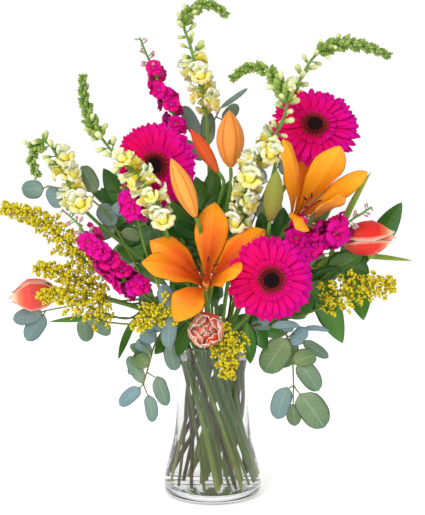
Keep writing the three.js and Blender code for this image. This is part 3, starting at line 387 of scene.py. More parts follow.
def blades(
    middle: Array, side: Array, half: Array, lift: Array | float, thick: float,
    chance: Array, wave: Array | float = 0.0, across: int = 7, slide: Array | float = 0.0,
) -> Shape:
    """Makes petals or leaves: a point is middle + side x half x a + face x (lift x a^2 + wave).

    The two faces stand apart by thick x (1 - a^4), where a runs from -1 to 1 across the blade.

    Args:
        middle: middle lines, shape (p, n, 3).
        side: rough directions across, shape (p, n, 3).
        half: half widths, shape (p, n).
        lift: how far the edges stand over the middle, shape (p, n) or a number.
        thick: thickness at the middle.
        chance: one number for each blade, shape (p,).
        wave: further height of each point, shape (p, n, across).
        across: points from edge to edge.
        slide: shift of each point along the blade, shape (p, n, across).

    Returns:
        The closed blades.
    """
    along = unit(np.gradient(middle, axis=1))
    side = unit(side - along * (side * along).sum(-1, keepdims=True))
    face = np.cross(side, along)
    a = np.linspace(-1, 1, across)
    lift = np.broadcast_to(lift, half.shape)[..., None]
    height = lift * a**2 + wave
    depth = thick / 2 * (1 - a**4)
    base = (
        middle[:, :, None] + side[:, :, None] * (half[..., None] * a)[..., None]
        + along[:, :, None] * (np.zeros_like(height) + slide)[..., None]
    )
    under = base + face[:, :, None] * (height + depth)[..., None]
    upper = base + face[:, :, None] * (height - depth)[..., None]
    return shells(upper[:, :, ::-1], under[:, :, ::-1], chance)


def tubes(points: Array, radii: Array, sides: int, chance: Array, side: Array | None = None,
          flute: Array | float = 0.0) -> Shape:
    """Carries a round section along rows of points, closed to a point at both ends.

    Args:
        points: middle lines, shape (p, n, 3).
        radii: radius at each point, shape (p, n).
        sides: points around.
        chance: one number for each tube, shape (p,).
        side: first side vectors, or None for any.
        flute: share by which the radius changes around and along, shape (..., n, sides).

    Returns:
        The closed tubes.
    """
    p, n, _ = points.shape
    _, sideways, upward = frames_along(points, side)
    angle = np.arange(sides) / sides * 2 * math.pi
    ring = (
        sideways[:, :, None] * np.cos(angle)[:, None] + upward[:, :, None] * np.sin(angle)[:, None]
    )
    wide = (radii[..., None] * (1 + np.zeros((n, sides)) + flute))[..., None]
    body = (points[:, :, None] + ring * wide).reshape(p, n * sides, 3)
    everything = np.concatenate([body, points[:, :1], points[:, -1:]], axis=1)
    u = np.concatenate([np.repeat(np.linspace(0, 1, n), sides), [0, 1]])
    v = np.concatenate([np.tile(angle / (2 * math.pi), n), [0.5, 0.5]])
    uv = np.stack([u, v], axis=-1)
    return bodies(everything, strips(n, sides), caps(n, sides), uv, chance, np.zeros(len(uv)))


def spindle(profile: Sequence[tuple[float, float]], sides: int, flute: Array | float = 0.0,
            rows: int = 10) -> Shape:
    """Makes a bud or seed along +Z, with radius by a row of (height, radius) pairs, 0 at the ends.

    Args:
        profile: heights and radii, from the foot up.
        sides: points around.
        flute: share by which the radius changes around.
        rows: rings from foot to tip.

    Returns:
        The closed body.
    """
    table = np.array(profile, dtype=float)
    spread = (1 - np.cos(np.linspace(0, math.pi, rows))) / 2
    height = table[0, 0] + spread * (table[-1, 0] - table[0, 0])
    radius = np.maximum(np.interp(height, table[:, 0], table[:, 1]), 0.02)
    line = np.stack([np.zeros(rows), np.zeros(rows), height], axis=-1)[None]
    return tubes(line, radius[None], sides, np.zeros(1), vec((1, 0, 0))[None], flute)


class Piece:
    """Gathers shapes of several finishes and makes one Blender object of them."""

    def __init__(self, name: str) -> None:
        """Starts an empty piece.

        Args:
            name: the object's name.
        """
        self.name = name
        self.parts: list[tuple[Shape, int]] = []
        self.finishes: list[bpy.types.Material] = []

    def add(self, shape: Shape, finish: bpy.types.Material) -> None:
        """Adds a shape.

        Args:
            shape: surface in millimetres.
            finish: its material.
        """
        if finish not in self.finishes:
            self.finishes.append(finish)
        self.parts.append((shape, self.finishes.index(finish)))

    def make(self, slot: str, *nodes: str) -> bpy.types.Object:
        """Makes the object, which rides on the part's one body and stands for its CAD nodes.

        Args:
            slot: the record's material slot; not used.
            nodes: names of the CAD nodes that it replaces.

        Returns:
            The new object.
        """
        points, uv, look, corners, sizes, slots = [], [], [], [], [], []
        start = 0
        for shape, index in self.parts:
            points.append(shape.points * MM)
            uv.append(shape.uv)
            look.append(shape.look)
            for faces in (shape.quads, shape.tris):
                corners.append((faces + start).reshape(-1))
                sizes.append(np.full(len(faces), faces.shape[1]))
                slots.append(np.full(len(faces), index))
            start += len(shape.points)
        loops = np.concatenate(corners).astype(np.int32)
        sizes_all = np.concatenate(sizes).astype(np.int32)
        mesh = bpy.data.meshes.new(self.name)
        mesh.vertices.add(start)
        mesh.vertices.foreach_set("co", np.concatenate(points).astype(np.float32).reshape(-1))
        mesh.loops.add(len(loops))
        mesh.loops.foreach_set("vertex_index", loops)
        mesh.polygons.add(len(sizes_all))
        starts = np.concatenate([[0], np.cumsum(sizes_all)[:-1]]).astype(np.int32)
        mesh.polygons.foreach_set("loop_start", starts)
        mesh.polygons.foreach_set("material_index", np.concatenate(slots).astype(np.int32))
        for finish in self.finishes:
            mesh.materials.append(finish)
        mesh.update(calc_edges=True)
        layer = mesh.uv_layers.new(name="grain")
        layer.data.foreach_set("uv", np.concatenate(uv)[loops].astype(np.float32).reshape(-1))
        numbers = np.concatenate(look).astype(np.float32)
        for name, column in (("chance", 0), ("under", 1)):
            spot = mesh.attributes.new(name, "FLOAT", "POINT")
            spot.data.foreach_set("value", numbers[:, column].copy())
        mesh.polygons.foreach_set("use_smooth", np.ones(len(sizes_all), dtype=bool))
        mesh.validate()
        made = bpy.data.objects.new(self.name, mesh)
        bpy.context.scene.collection.objects.link(made)
        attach(made, "root")
        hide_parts(*nodes)
        LOG.info("%s: %d faces", self.name, len(sizes_all))
        return made


# ---- Finishes ---------------------------------------------------------------------

def shade(code: str) -> tuple[float, float, float, float]:
    """Turns an sRGB hex colour to linear light: c/12.92 below 0.04045, else ((c+0.055)/1.055)^2.4.

    Args:
        code: the colour, as # and six hex digits.

    Returns:
        Red, green, blue and 1.
    """
    values = [int(code[i:i + 2], 16) / 255 for i in (1, 3, 5)]
    linear = [c / 12.92 if c <= 0.04045 else ((c + 0.055) / 1.055) ** 2.4 for c in values]
    return (linear[0], linear[1], linear[2], 1.0)


def add_node(tree: bpy.types.NodeTree, kind: str, settings: dict[str, Any] | None = None,
             **inputs: Any) -> bpy.types.Node:
    """Adds a node to a tree.

    Args:
        tree: the tree.
        kind: the node's type.
        settings: its properties; "stops" holds a ramp's (place, hex colour) pairs.
        inputs: what plug sets on it.

    Returns:
        The node.
    """
    node = tree.nodes.new(kind)
    for key, value in (settings or {}).items():
        if key == "stops":
            ramp = node.color_ramp.elements
            while len(ramp) < len(value):
                ramp.new(0.5)
            for stop, (place, code) in zip(ramp, value):
                stop.position = place
                stop.color = shade(code)
        else:
            setattr(node, key, value)
    plug(tree, node, **inputs)
    return node


def plug(tree: bpy.types.NodeTree, node: bpy.types.Node, **inputs: Any) -> None:
    """Sets a node's inputs: a number or colour on its own socket, another node's socket by a link.

    Args:
        tree: the tree.
        node: the node.
        inputs: values or sockets, by name with _ for a space, or i0, i1, ... by place.
    """
    for key, value in inputs.items():
        socket = node.inputs[int(key[1:])] if key[1:].isdigit() else node.inputs[key.replace("_", " ")]
        if isinstance(value, bpy.types.NodeSocket):
            tree.links.new(value, socket)
        else:
            socket.default_value = value


def by_place(*values: Any) -> dict[str, Any]:
    """Names values i0, i1, ... for the inputs of a node."""
    return {f"i{place}": value for place, value in enumerate(values)}


def worked(tree: bpy.types.NodeTree, operation: str, *values: Any) -> bpy.types.NodeSocket:
    """Adds a sum on up to three numbers or sockets and gives its result."""
    return add_node(tree, "ShaderNodeMath", {"operation": operation}, **by_place(*values)).outputs[0]


def eased(tree: bpy.types.NodeTree, *values: Any) -> bpy.types.NodeSocket:
    """Adds a smooth step: as a socket goes from low to high, it goes from one value to another."""
    smooth = {"interpolation_type": "SMOOTHSTEP"}
    return add_node(tree, "ShaderNodeMapRange", smooth, **by_place(*values)).outputs[0]


def toward(tree: bpy.types.NodeTree, colour: Any, code: str, share: Any) -> bpy.types.NodeSocket:
    """Mixes a colour toward a hex colour by a share and gives the mixture."""
    return add_node(tree, "ShaderNodeMix", {"data_type": "RGBA"},
                    i0=share, i6=colour, i7=shade(code)).outputs[2]


def new_material(name: str) -> tuple[bpy.types.Material, bpy.types.NodeTree, bpy.types.Node]:
    """Starts a material with one Principled shader.

    Args:
        name: the material's name.

    Returns:
        The material, its tree and its shader.
    """
    material = bpy.data.materials.new(name)
    material.use_nodes = True
    tree = material.node_tree
    return material, tree, tree.nodes["Principled BSDF"]


class Veins(Enum):
    """How the relief of a petal or leaf runs."""

    NONE = 0
    RIBS = 1
    FEATHER = 2


@dataclass(frozen=True)
class BladeFinish:
    """A petal, leaf or stem skin: colour from foot to tip, paler or darker edges, ribs or veins.

    along holds (place, colour) stops from foot to tip. A share says how much of a second colour
    is mixed in: edge toward the edges, other by the petal's chance number, under on the
    underside and vein on the veins. mottle_size and relief are in millimetres.
    """

    name: str
    along: tuple[tuple[float, str], ...]
    edge: str = "#ffffff"
    edge_share: float = 0.0
    edge_start: float = 0.55
    other: str = "#ffffff"
    other_share: float = 0.0
    under: str = "#ffffff"
    under_share: float = 0.0
    veins: Veins = Veins.NONE
    vein_colour: str = "#ffffff"
    vein_share: float = 0.0
    vein_count: float = 8.0
    mottle: float = 0.25
    mottle_size: float = 3.0
    roughness: float = 0.5
    relief: float = 0.15
    glow: float = 0.0
    coat: float = 0.0
    gloss: float = 0.3

    def material(self) -> bpy.types.Material:
        """Builds the material.

        Returns:
            The finished material.
        """
        material, tree, skin = new_material(self.name)
        uv = add_node(tree, "ShaderNodeUVMap", {"uv_map": "grain"})
        along, across = add_node(tree, "ShaderNodeSeparateXYZ", None, Vector=uv.outputs[0]).outputs[:2]
        chance, under = (add_node(tree, "ShaderNodeAttribute", {"attribute_name": name}).outputs["Fac"]
                         for name in ("chance", "under"))
        place = add_node(tree, "ShaderNodeTexCoord").outputs["Object"]
        colour = add_node(tree, "ShaderNodeValToRGB", {"stops": self.along}, Fac=along).outputs[0]
        # Distance from the middle rib, 0 there and 1 at the edges
        offset = worked(tree, "MULTIPLY_ADD", across, 2.0, -1.0)
        aside = worked(tree, "ABSOLUTE", offset)
        # Patches a few millimetres wide, as living skin is never one colour
        patches = add_node(tree, "ShaderNodeTexNoise", None, Vector=place,
                           Scale=1000 / self.mottle_size, Detail=3.0).outputs[0]
        if self.other_share > 0:
            colour = toward(tree, colour, self.other, worked(tree, "MULTIPLY", chance, self.other_share))
        if self.edge_share > 0:
            rim = eased(tree, aside, self.edge_start, 1.0, 0.0, self.edge_share)
            colour = toward(tree, colour, self.edge, rim)
        height = patches
        if self.veins is not Veins.NONE:
            line = self.lines(tree, along, offset, aside)
            share = worked(tree, "MULTIPLY", line, self.vein_share)
            colour = toward(tree, colour, self.vein_colour, share)
            height = worked(tree, "MULTIPLY_ADD", line, -1.0, patches)
        if self.under_share > 0:
            colour = toward(tree, colour, self.under, worked(tree, "MULTIPLY", under, self.under_share))
        # Brightness runs a little up and down with the patches and from one petal to the next
        sway = worked(tree, "MULTIPLY_ADD", chance, 0.4, patches)
        value = worked(tree, "MULTIPLY_ADD", sway, self.mottle, 1 - 0.7 * self.mottle)
        colour = add_node(tree, "ShaderNodeHueSaturation", None, Value=value, Color=colour).outputs[0]
        bump = add_node(tree, "ShaderNodeBump", None, Strength=0.6, Distance=self.relief * MM,
                        Height=height)
        plug(tree, skin, Base_Color=colour, Roughness=self.roughness, Specular_IOR_Level=self.gloss,
             Coat_Weight=self.coat, Coat_Roughness=0.25, Normal=bump.outputs[0])
        if self.glow > 0:
            plug(tree, skin, Subsurface_Weight=self.glow, Subsurface_Radius=(1.0, 0.5, 0.4),
                 Subsurface_Scale=0.003)
        return material

    def lines(self, tree: bpy.types.NodeTree, along: bpy.types.NodeSocket, offset: bpy.types.NodeSocket,
              aside: bpy.types.NodeSocket) -> bpy.types.NodeSocket:
        """Draws the veins: 1 on a line and 0 between, by a comb of equal steps.

        Ribs run along the blade. A feather has a middle rib, and side veins that run out and up.

        Args:
            tree: the material's tree.
            along: place from foot to tip.
            offset: place across, -1 to 1.
            aside: distance from the middle rib.

        Returns:
            The veins' socket.
        """
        if self.veins is Veins.RIBS:
            run = worked(tree, "MULTIPLY", offset, self.vein_count / 2)
        else:
            slope = worked(tree, "MULTIPLY", aside, -2.2)
            run = worked(tree, "MULTIPLY_ADD", along, self.vein_count, slope)
        line = eased(tree, worked(tree, "PINGPONG", run, 0.5), 0.0, 0.16, 1.0, 0.0)
        if self.veins is Veins.FEATHER:
            rib = eased(tree, aside, 0.02, 0.12, 1.0, 0.0)
            line = worked(tree, "MAXIMUM", worked(tree, "MULTIPLY", line, 0.5), rib)
        return line


@dataclass(frozen=True)
class ClearFinish:
    """Clear glass or water: light passes through and bends at the surface."""

    name: str
    tint: str
    ior: float
    mirror: str = "#ffffff"

    def material(self) -> bpy.types.Material:
        """Builds the material with full transmission and no roughness.

        Returns:
            The finished material.
        """
        material, tree, skin = new_material(self.name)
        plug(tree, skin, Base_Color=shade(self.tint), Roughness=0.0, IOR=self.ior,
             Transmission_Weight=1.0, Specular_Tint=shade(self.mirror))
        return material


# ---- Stems: routed from the foot in the water up to each head ----------------------

@dataclass
class Limb:
    """One stem or side stem, as stations from its foot to its top."""

    plant: str
    points: Array
    thick: float
    pinned: int = 0
    inside: int = 0
    room: float = 0.0
    flowering: int = 0
    parent: "Limb | None" = None
    station: int = 0


@dataclass
class Branch:
    """A side stem: it starts from a station of its plant's path."""

    start: int
    path: list[Triple]
    flowers: float = 0.0
    size: float = 12.0


def inner_radius(height: Array) -> Array:
    """Gives the radius of the room inside the vase at a height, read off the outer wall."""
    return np.interp(height, VASE_OUTER[:, 1], VASE_OUTER[:, 0]) - WALL


def stations_through(knots: Array) -> Array:
    """Cuts the smooth line through knots into stations about STATION_SPACING apart.

    Args:
        knots: points, shape (k, 3); each stays a station.

    Returns:
        The stations, shape (n, 3).
    """
    line = SmoothLine(knots)
    pieces = np.maximum(1, np.floor(line.spans / STATION_SPACING + 0.5)).astype(int)
    i = np.repeat(np.arange(len(pieces)), pieces)
    share = np.concatenate([np.arange(1, count + 1) / count for count in pieces])
    return np.concatenate([knots[:1], line.points(i, share)])


@dataclass
class Plant:
    """A cut plant: it stands in the neck of the vase and climbs along its path."""

    name: str
    neck: Triple
    path: list[Triple]

    def main_limb(self, thick: float, pinned: int, room: float, flowering: int,
                  lead: Iterable[Triple] = ()) -> Limb:
        """Routes the stem: foot, lip, path, lead. The foot is the neck place turned and spread.

        Args:
            thick: diameter of the stem.
            pinned: stations at the top that don't move.
            room: width that the flowers ask for round the stem, on each side.
            flowering: stretches at the top that carry flowers.
            lead: further points up to the head.

        Returns:
            The limb.
        """
        x, y = self.neck
        cos, sin = math.cos(SPIRAL_TURN) * FOOT_SPREAD, math.sin(SPIRAL_TURN) * FOOT_SPREAD
        lip = (x * LIP_SPREAD, y * LIP_SPREAD, LIP_HEIGHT)
        knots = np.array([
            (x * cos - y * sin, x * sin + y * cos, FOOT_HEIGHT), lip, *self.path, *lead,
        ], dtype=float)
        points = stations_through(knots)
        inside = int(np.argmin(np.linalg.norm(points - vec(lip), axis=1))) + 1
        return Limb(self.name, points, thick, pinned, inside, room, flowering)

    def side_limb(self, main: Limb, branch: Branch, thick: float, pinned: int, room: float,
                  flowering: int, lead: Iterable[Triple] = ()) -> Limb:
        """Routes a side stem from its station on the main stem.

        Args:
            main: the stem that carries it.
            branch: where it starts and runs.
            thick: diameter.
            pinned: stations at the top that don't move.
            room: width for flowers on each side.
            flowering: stretches that carry flowers.
            lead: further points up to the head.

        Returns:
            The limb.
        """
        start = vec(self.path[branch.start])
        station = int(np.argmin(np.linalg.norm(main.points - start, axis=1)))
        points = stations_through(np.array([start, *branch.path, *lead], dtype=float))
        return Limb(self.name, points, thick, pinned, 0, room, flowering, main, station)


@dataclass
class BranchedPlant(Plant):
    """A plant with side stems: each class gives the sizes that its stems are routed with."""

    MAIN = (4.0, 0, 2, 2)
    SIDE = (3.0, 0, 2, 2)
    branches: list[Branch] = field(default_factory=list)

    def limbs(self) -> list[Limb]:
        """Routes the stem and its branches, by thickness, pinned stations, room and flowering.

        Returns:
            The stem and the branches.
        """
        self.limb = self.main_limb(*self.MAIN)
        self.sides = [self.side_limb(self.limb, branch, *self.SIDE) for branch in self.branches]
        return [self.limb, *self.sides]

    def clad(self, piece: Piece, skins: Sequence[Any], main: Triple, side: Triple) -> None:
        """Adds the stem and the side stems to a piece.

        Args:
            piece: the piece that they go into.
            skins: the stem's finish and the side stems' finish.
            main: the stem's radius at foot and top, and the points around.
            side: the same for the side stems.
        """
        piece.add(stem_skin(self.limb, *main), skins[0])
        for limb in self.sides:
            piece.add(stem_skin(limb, *side), skins[1])


def ease_apart(limbs: list[Limb]) -> None:
    """Moves stems that would run through each other apart, a little in every round.

    For each pair of straight stretches nearer than their radii and STEM_GAP, both are pushed
    along the line between their nearest points, shared out to their ends.

    Args:
        limbs: every stem; their stations are moved.
    """
    starts = np.cumsum([0] + [len(limb.points) for limb in limbs])
    x = np.concatenate([limb.points for limb in limbs])
    foot, half, owner = [], [], []
    names = {name: i for i, name in enumerate(dict.fromkeys(limb.plant for limb in limbs))}
    for limb, start in zip(limbs, starts):
        total = len(limb.points) - 1
        blooming = np.arange(total) >= total - limb.flowering
        foot.append(start + np.arange(total))
        half.append(limb.thick / 2 + np.where(blooming, limb.room, 0))
        owner.append(np.full(total, names[limb.plant]))
    foot, half, owner = np.concatenate(foot), np.concatenate(half), np.concatenate(owner)
    one, two = np.triu_indices(len(foot), 1)
    apart = owner[one] != owner[two]
    one, two = foot[one[apart]], foot[two[apart]]
    wide = dict(zip(foot, half))
    need = np.array([wide[i] for i in one]) + np.array([wide[j] for j in two]) + STEM_GAP
    free = np.concatenate([np.arange(len(m.points)) < len(m.points) - m.pinned for m in limbs])
    inside = np.concatenate([np.arange(len(m.points)) < m.inside for m in limbs])
    thick = np.concatenate([np.full(len(m.points), m.thick) for m in limbs])
    for _ in range(EASE_ROUNDS):
        u, v, w = x[one + 1] - x[one], x[two + 1] - x[two], x[one] - x[two]
        a, b, c = (u * u).sum(1), (u * v).sum(1), (v * v).sum(1)
        d, e = (u * w).sum(1), (v * w).sum(1)
        area = a * c - b * b
        s = np.where(area > 1e-9, np.clip((b * e - c * d) / np.maximum(area, 1e-9), 0, 1), 0)
        t = np.clip((b * s + e) / c, 0, 1)
        s = np.clip((b * t - d) / a, 0, 1)
        gap = w + u * s[:, None] - v * t[:, None]
        distance = np.linalg.norm(gap, axis=1)
        near = distance < need
        push = gap[near] * (EASE_SHARE * (need - distance) / np.maximum(distance, 0.01))[near, None]
        moves = np.zeros_like(x)
        s, t = s[near, None], t[near, None]
        np.add.at(moves, one[near], push * (1 - s))
        np.add.at(moves, one[near] + 1, push * s)
        np.add.at(moves, two[near], push * (t - 1))
        np.add.at(moves, two[near] + 1, push * -t)
        length = np.linalg.norm(moves, axis=1, keepdims=True)
        moves *= np.minimum(1, EASE_MOST / np.maximum(length, 1e-9))
        moves[inside, 2] = 0
        x[free] += moves[free]
        most = inner_radius(x[:, 2]) - thick / 2 - GLASS_GAP
        reach = np.hypot(x[:, 0], x[:, 1])
        over = inside & free & (reach > most)
        x[over, :2] *= (most / np.maximum(reach, 1e-9))[over, None]
        for limb, start in zip(limbs, starts):
            if limb.parent is not None:
                home = starts[next(i for i, m in enumerate(limbs) if m is limb.parent)]
                x[start] = x[home + limb.station]
    for limb, start in zip(limbs, starts):
        limb.points = x[start:start + len(limb.points)]


def stem_skin(limb: Limb, foot_radius: float, top_radius: float, sides: int = 12) -> Shape:
    """Makes a round stem through a limb's stations; its radius runs from foot to top by station.

    Slow swellings of 3 in 100 run along it, and it is 6 in 100 thinner inside the vase.

    Args:
        limb: the stem.
        foot_radius: radius at the foot.
        top_radius: radius at the top.
        sides: points around.

    Returns:
        The closed stem.
    """
    line, where = follow(limb.points, STEM_RING)
    share = where / (len(limb.points) - 1)
    radii = foot_radius + (top_radius - foot_radius) * share
    radii = radii * (1 + 0.03 * np.sin(where * 5.0)) * (0.94 + 0.06 * ease(line[:, 2], 150, 260))
    # A number of the stem's own, from the place of its foot
    own = abs(float(limb.points[0] @ vec((7.3, 3.1, 0.7)))) % 1.0
    return tubes(line[None], radii[None], sides, np.array([own]))


@dataclass
class Walk:
    """Places counted back from the end of a row of stations."""

    points: Array

    def at(self, distances: Array) -> tuple[Array, Array]:
        """Finds the places at distances back from the end, and the direction of the stem there.

        Args:
            distances: millimetres from the end, shape (c,).

        Returns:
            Places and unit directions, each of shape (c, 3).
        """
        back = self.points[::-1]
        spans = np.linalg.norm(np.diff(back, axis=0), axis=1)
        times = np.concatenate([[0], np.cumsum(spans)])
        i = np.clip(np.searchsorted(times, distances, side="left") - 1, 0, len(spans) - 1)
        share = np.minimum((distances - times[i]) / spans[i], 1)[:, None]
        places = back[i] + (back[i + 1] - back[i]) * share
        return places, unit(back[i] - back[i + 1])


class Palette:
    """Every finish of the bouquet, made once and shared by its pieces."""

    def __init__(self) -> None:
        """Makes the materials. A note on each says what the real surface gives the eye."""
        # Ray petals: silky, fine ribs about 1.5 mm apart, wine red where they leave the eye
        self.gerbera = BladeFinish(
            "gerbera_ray_petal",
            ((0.0, "#6a0614"), (0.1, "#920722"), (0.22, "#d60262"), (0.7, "#ea068a"), (1.0, "#d80ca2")),
            # other, the redder colour, goes on the left of each bloom as painted shade, leaving the
            # purple of the ramp on its right as a painted sheen
            other="#ee0a50", other_share=0.8, under="#e06aa4", under_share=0.4, veins=Veins.RIBS,
            vein_colour="#a8024e", vein_share=0.3, vein_count=7, roughness=0.6, relief=0.2,
            mottle=0.16, gloss=0.05).material()
        # Short inner rays of the gerbera: wine red velvet
        self.gerbera_ruff = BladeFinish(
            "gerbera_inner_ray", ((0.0, "#2e050c"), (0.6, "#8c1824"), (1.0, "#b01a3c")),
            roughness=0.7, mottle=0.3).material()
        # Packed disc florets: almost black and matt
        self.gerbera_eye = BladeFinish(
            "gerbera_disc_floret", ((0.0, "#050304"), (0.7, "#16060a"), (1.0, "#3a0c14")),
            roughness=0.75, mottle=0.4).material()
        # Green stem skin: satin, soft lengthwise ribs; the pale yellow-green toward the foot is painted
        # light, brightening the stems that stand in the water behind the glass
        self.stem = BladeFinish(
            "fresh_stem_skin",
            ((0.0, "#d2d860"), (0.22, "#b0ce4a"), (0.42, "#78a43a"), (1.0, "#7aa040")),
            other="#3f7420", other_share=0.8, veins=Veins.RIBS, vein_colour="#9bb267", vein_share=0.35,
            vein_count=9, roughness=0.42, mottle=0.4, mottle_size=9).material()
        # Woody stem bark: brown, matt, streaked
        self.wood = BladeFinish(
            "woody_stem_bark", ((0.0, "#6b4c30"), (0.4, "#6b4a2c"), (0.75, "#6b5c33"), (1.0, "#7d8248")),
            other="#8a9a48", other_share=0.9,
            veins=Veins.RIBS, vein_colour="#33231a", vein_share=0.5, vein_count=8, roughness=0.7,
            mottle=0.6, mottle_size=6, relief=0.4).material()
        # Lily tepal: waxy, orange with a red throat and golden edges
        self.lily = BladeFinish(
            "lily_tepal", ((0.0, "#b83a0c"), (0.42, "#d63808"), (0.64, "#f6680c"), (0.82, "#ff940c"),
                           (1.0, "#ffa818")),
            edge="#ffa514", edge_share=0.8, edge_start=0.35, other="#ffc024", other_share=0.7,
            under="#f8a848", under_share=0.6,
            veins=Veins.RIBS, vein_colour="#d8480a", vein_share=0.5, vein_count=12, roughness=0.4,
            relief=0.45, mottle=0.2, gloss=0.25).material()
        # Lily bud: closed tepals, orange over a green foot, red along the seams
        self.lily_bud = BladeFinish(
            "lily_bud_skin", ((0.0, "#8f8f2c"), (0.12, "#dc6a26"), (0.5, "#e65a20"), (1.0, "#d83c18")),
            other="#f4b24a", other_share=0.85, veins=Veins.RIBS, vein_colour="#d04416", vein_share=0.6,
            vein_count=6, roughness=0.42, mottle=0.35, relief=0.5).material()
        # Unripe lily bud: green turning to bronze
        self.green_bud = BladeFinish(
            "unripe_bud_skin", ((0.0, "#7e6a2c"), (0.4, "#8a8a33"), (0.8, "#8f9d3d"), (1.0, "#6f8a30")),
            veins=Veins.RIBS, vein_colour="#a4632a", vein_share=0.5, vein_count=6, roughness=0.4,
            mottle=0.3).material()
        # Lily pistil and stamens
        self.stamen = BladeFinish(
            "lily_filament", ((0.0, "#e2552a"), (1.0, "#b93a1c")),
            roughness=0.5, mottle=0.2).material()
        self.anther = BladeFinish(
            "lily_anther_dust", ((0.0, "#4a1c12"), (1.0, "#7a2f18")),
            roughness=0.9, mottle=0.5).material()
        # Tulip: flamed red petal, cream only at its tip and outermost edge, smooth satin
        self.tulip = BladeFinish(
            "tulip_flamed_petal",
            ((0.0, "#e8c89c"), (0.1, "#d8482c"), (0.3, "#dc0a08"), (0.7, "#e8140e"), (0.83, "#f27a48"),
             (0.93, "#fbe0c0"), (1.0, "#fdf0dc")),
            edge="#fce0c6", edge_share=0.9, edge_start=0.7, other="#f6c0b0", other_share=0.75,
            veins=Veins.RIBS, vein_colour="#b8100a", vein_share=0.3, vein_count=9, roughness=0.33,
            mottle=0.15, relief=0.15, gloss=0.08).material()
        # Double tulip: many coral petals with cream-pink edges
        self.double_tulip = BladeFinish(
            "double_tulip_petal", ((0.0, "#fbe6d0"), (0.3, "#f49470"), (0.5, "#ee3416"),
                                   (0.9, "#f2421f"), (1.0, "#fbccb4")),
            edge="#fff4e8", edge_share=0.95, edge_start=0.66, other="#ffe2c4", other_share=0.65,
            veins=Veins.RIBS, vein_colour="#f2a890", vein_share=0.4, vein_count=12, roughness=0.4,
            mottle=0.15, relief=0.2, glow=0.5, gloss=0.15).material()
        # Snapdragon buds: downy green, paler as they swell; blossoms white over a green foot
        self.snap_bud = BladeFinish(
            "snapdragon_bud", ((0.0, "#4a6a22"), (0.45, "#60822f"), (1.0, "#92a84c")),
            other="#b0c066", other_share=0.6, roughness=0.6, mottle=0.4, mottle_size=4).material()
        self.snap_club = BladeFinish(
            "snapdragon_swollen_bud", ((0.0, "#6f8c34"), (0.35, "#a9bb58"), (1.0, "#dfe3a0")),
            other="#f0eec6", other_share=0.5, roughness=0.6, mottle=0.25).material()
        self.snap_petal = BladeFinish(
            "snapdragon_petal", ((0.0, "#b8ca74"), (0.3, "#e2eab8"), (0.7, "#f2f7e2"), (1.0, "#fafcf4")),
            other="#eeeea2", other_share=0.6, veins=Veins.RIBS, vein_colour="#cdd288", vein_share=0.2,
            vein_count=6, roughness=0.55, mottle=0.15, relief=0.12, glow=0.1).material()
        # Lower lip of the blossom: clear yellow in the mouth, white at the rim
        self.snap_lip = BladeFinish(
            "snapdragon_lower_lip",
            ((0.0, "#cfcf5a"), (0.3, "#f0e04a"), (0.55, "#f3efa8"), (1.0, "#f9fbec")),
            other="#f2d61c", other_share=0.7, veins=Veins.RIBS, vein_colour="#d8cc5c", vein_share=0.2,
            vein_count=6, roughness=0.55, mottle=0.15, relief=0.12, glow=0.1).material()
        self.snap_palate = BladeFinish(
            "snapdragon_palate", ((0.0, "#ece46a"), (1.0, "#f2e25a")),
            roughness=0.65, mottle=0.2).material()
        # Stock: ruffled magenta petals with a pale eye; buds pale pink and grey green
        self.stock = BladeFinish(
            "stock_petal", ((0.0, "#e6b4d4"), (0.1, "#cc3c98"), (0.24, "#d20894"), (1.0, "#e00ca6")),
            other="#ee0c62", other_share=0.7, under="#b0509a", under_share=0.35, veins=Veins.RIBS,
            vein_colour="#74084e", vein_share=0.3, vein_count=7, roughness=0.6, mottle=0.25,
            relief=0.25, gloss=0.08).material()
        self.stock_bud = BladeFinish(
            "stock_bud", ((0.0, "#8fa277"), (0.5, "#b9b09a"), (1.0, "#d79ab8")),
            other="#c2468e", other_share=0.5, roughness=0.65, mottle=0.3).material()
        # Goldenrod: hundreds of yellow heads 2 to 3 mm long
        self.goldenrod = BladeFinish(
            "goldenrod_head", ((0.0, "#7f8a20"), (0.25, "#c8b81c"), (1.0, "#f8de20")),
            other="#a8a822", other_share=0.45, roughness=0.7, mottle=0.3, glow=0.05).material()
        self.twig = BladeFinish(
            "green_twig", ((0.0, "#66782c"), (1.0, "#85903a")), other="#566628", other_share=0.7,
            roughness=0.6, mottle=0.3).material()
        # Silver dollar eucalyptus: a grey wax bloom over blue green, paler rib
        self.eucalyptus = BladeFinish(
            "eucalyptus_leaf", ((0.0, "#8a9a64"), (0.3, "#768c4e"), (0.8, "#688446"), (1.0, "#58763e")),
            edge="#5a7c62", edge_share=0.35, edge_start=0.75, other="#7894a2", other_share=1.0,
            under="#86a08e", under_share=0.5, veins=Veins.FEATHER, vein_colour="#9db39c", vein_share=0.4,
            vein_count=7, roughness=0.6, mottle=0.35, mottle_size=12, relief=0.15).material()
        # Salal leaf: leathery, glossy deep green with sunk veins
        self.salal = BladeFinish(
            "salal_leaf", ((0.0, "#56842c"), (0.3, "#35742a"), (1.0, "#2e6826")), edge="#225220",
            edge_share=0.3, edge_start=0.7, other="#5c9436", other_share=0.6, under="#6b8a44",
            under_share=0.6, veins=Veins.FEATHER, vein_colour="#739848", vein_share=0.45, vein_count=6,
            roughness=0.3, mottle=0.35, mottle_size=14, relief=0.3, coat=0.3).material()
        # Tulip leaf: long soft blade with fine parallel ribs
        self.tulip_leaf = BladeFinish(
            "tulip_leaf", ((0.0, "#88ae40"), (0.5, "#86aa3c"), (1.0, "#a6bc46")), edge="#a8c25e",
            edge_share=0.4, veins=Veins.RIBS, vein_colour="#557c2c", vein_share=0.4, vein_count=10,
            roughness=0.45, mottle=0.2, mottle_size=10).material()
        # Blown glass and still water; against glass, water mirrors a tenth of what it does against air
        self.glass = ClearFinish("clear_blown_glass", "#fbfbfc", 1.5, "#d8d8d8").material()
        self.water = ClearFinish("still_water", "#fbfcfa", 1.333, "#595959").material()


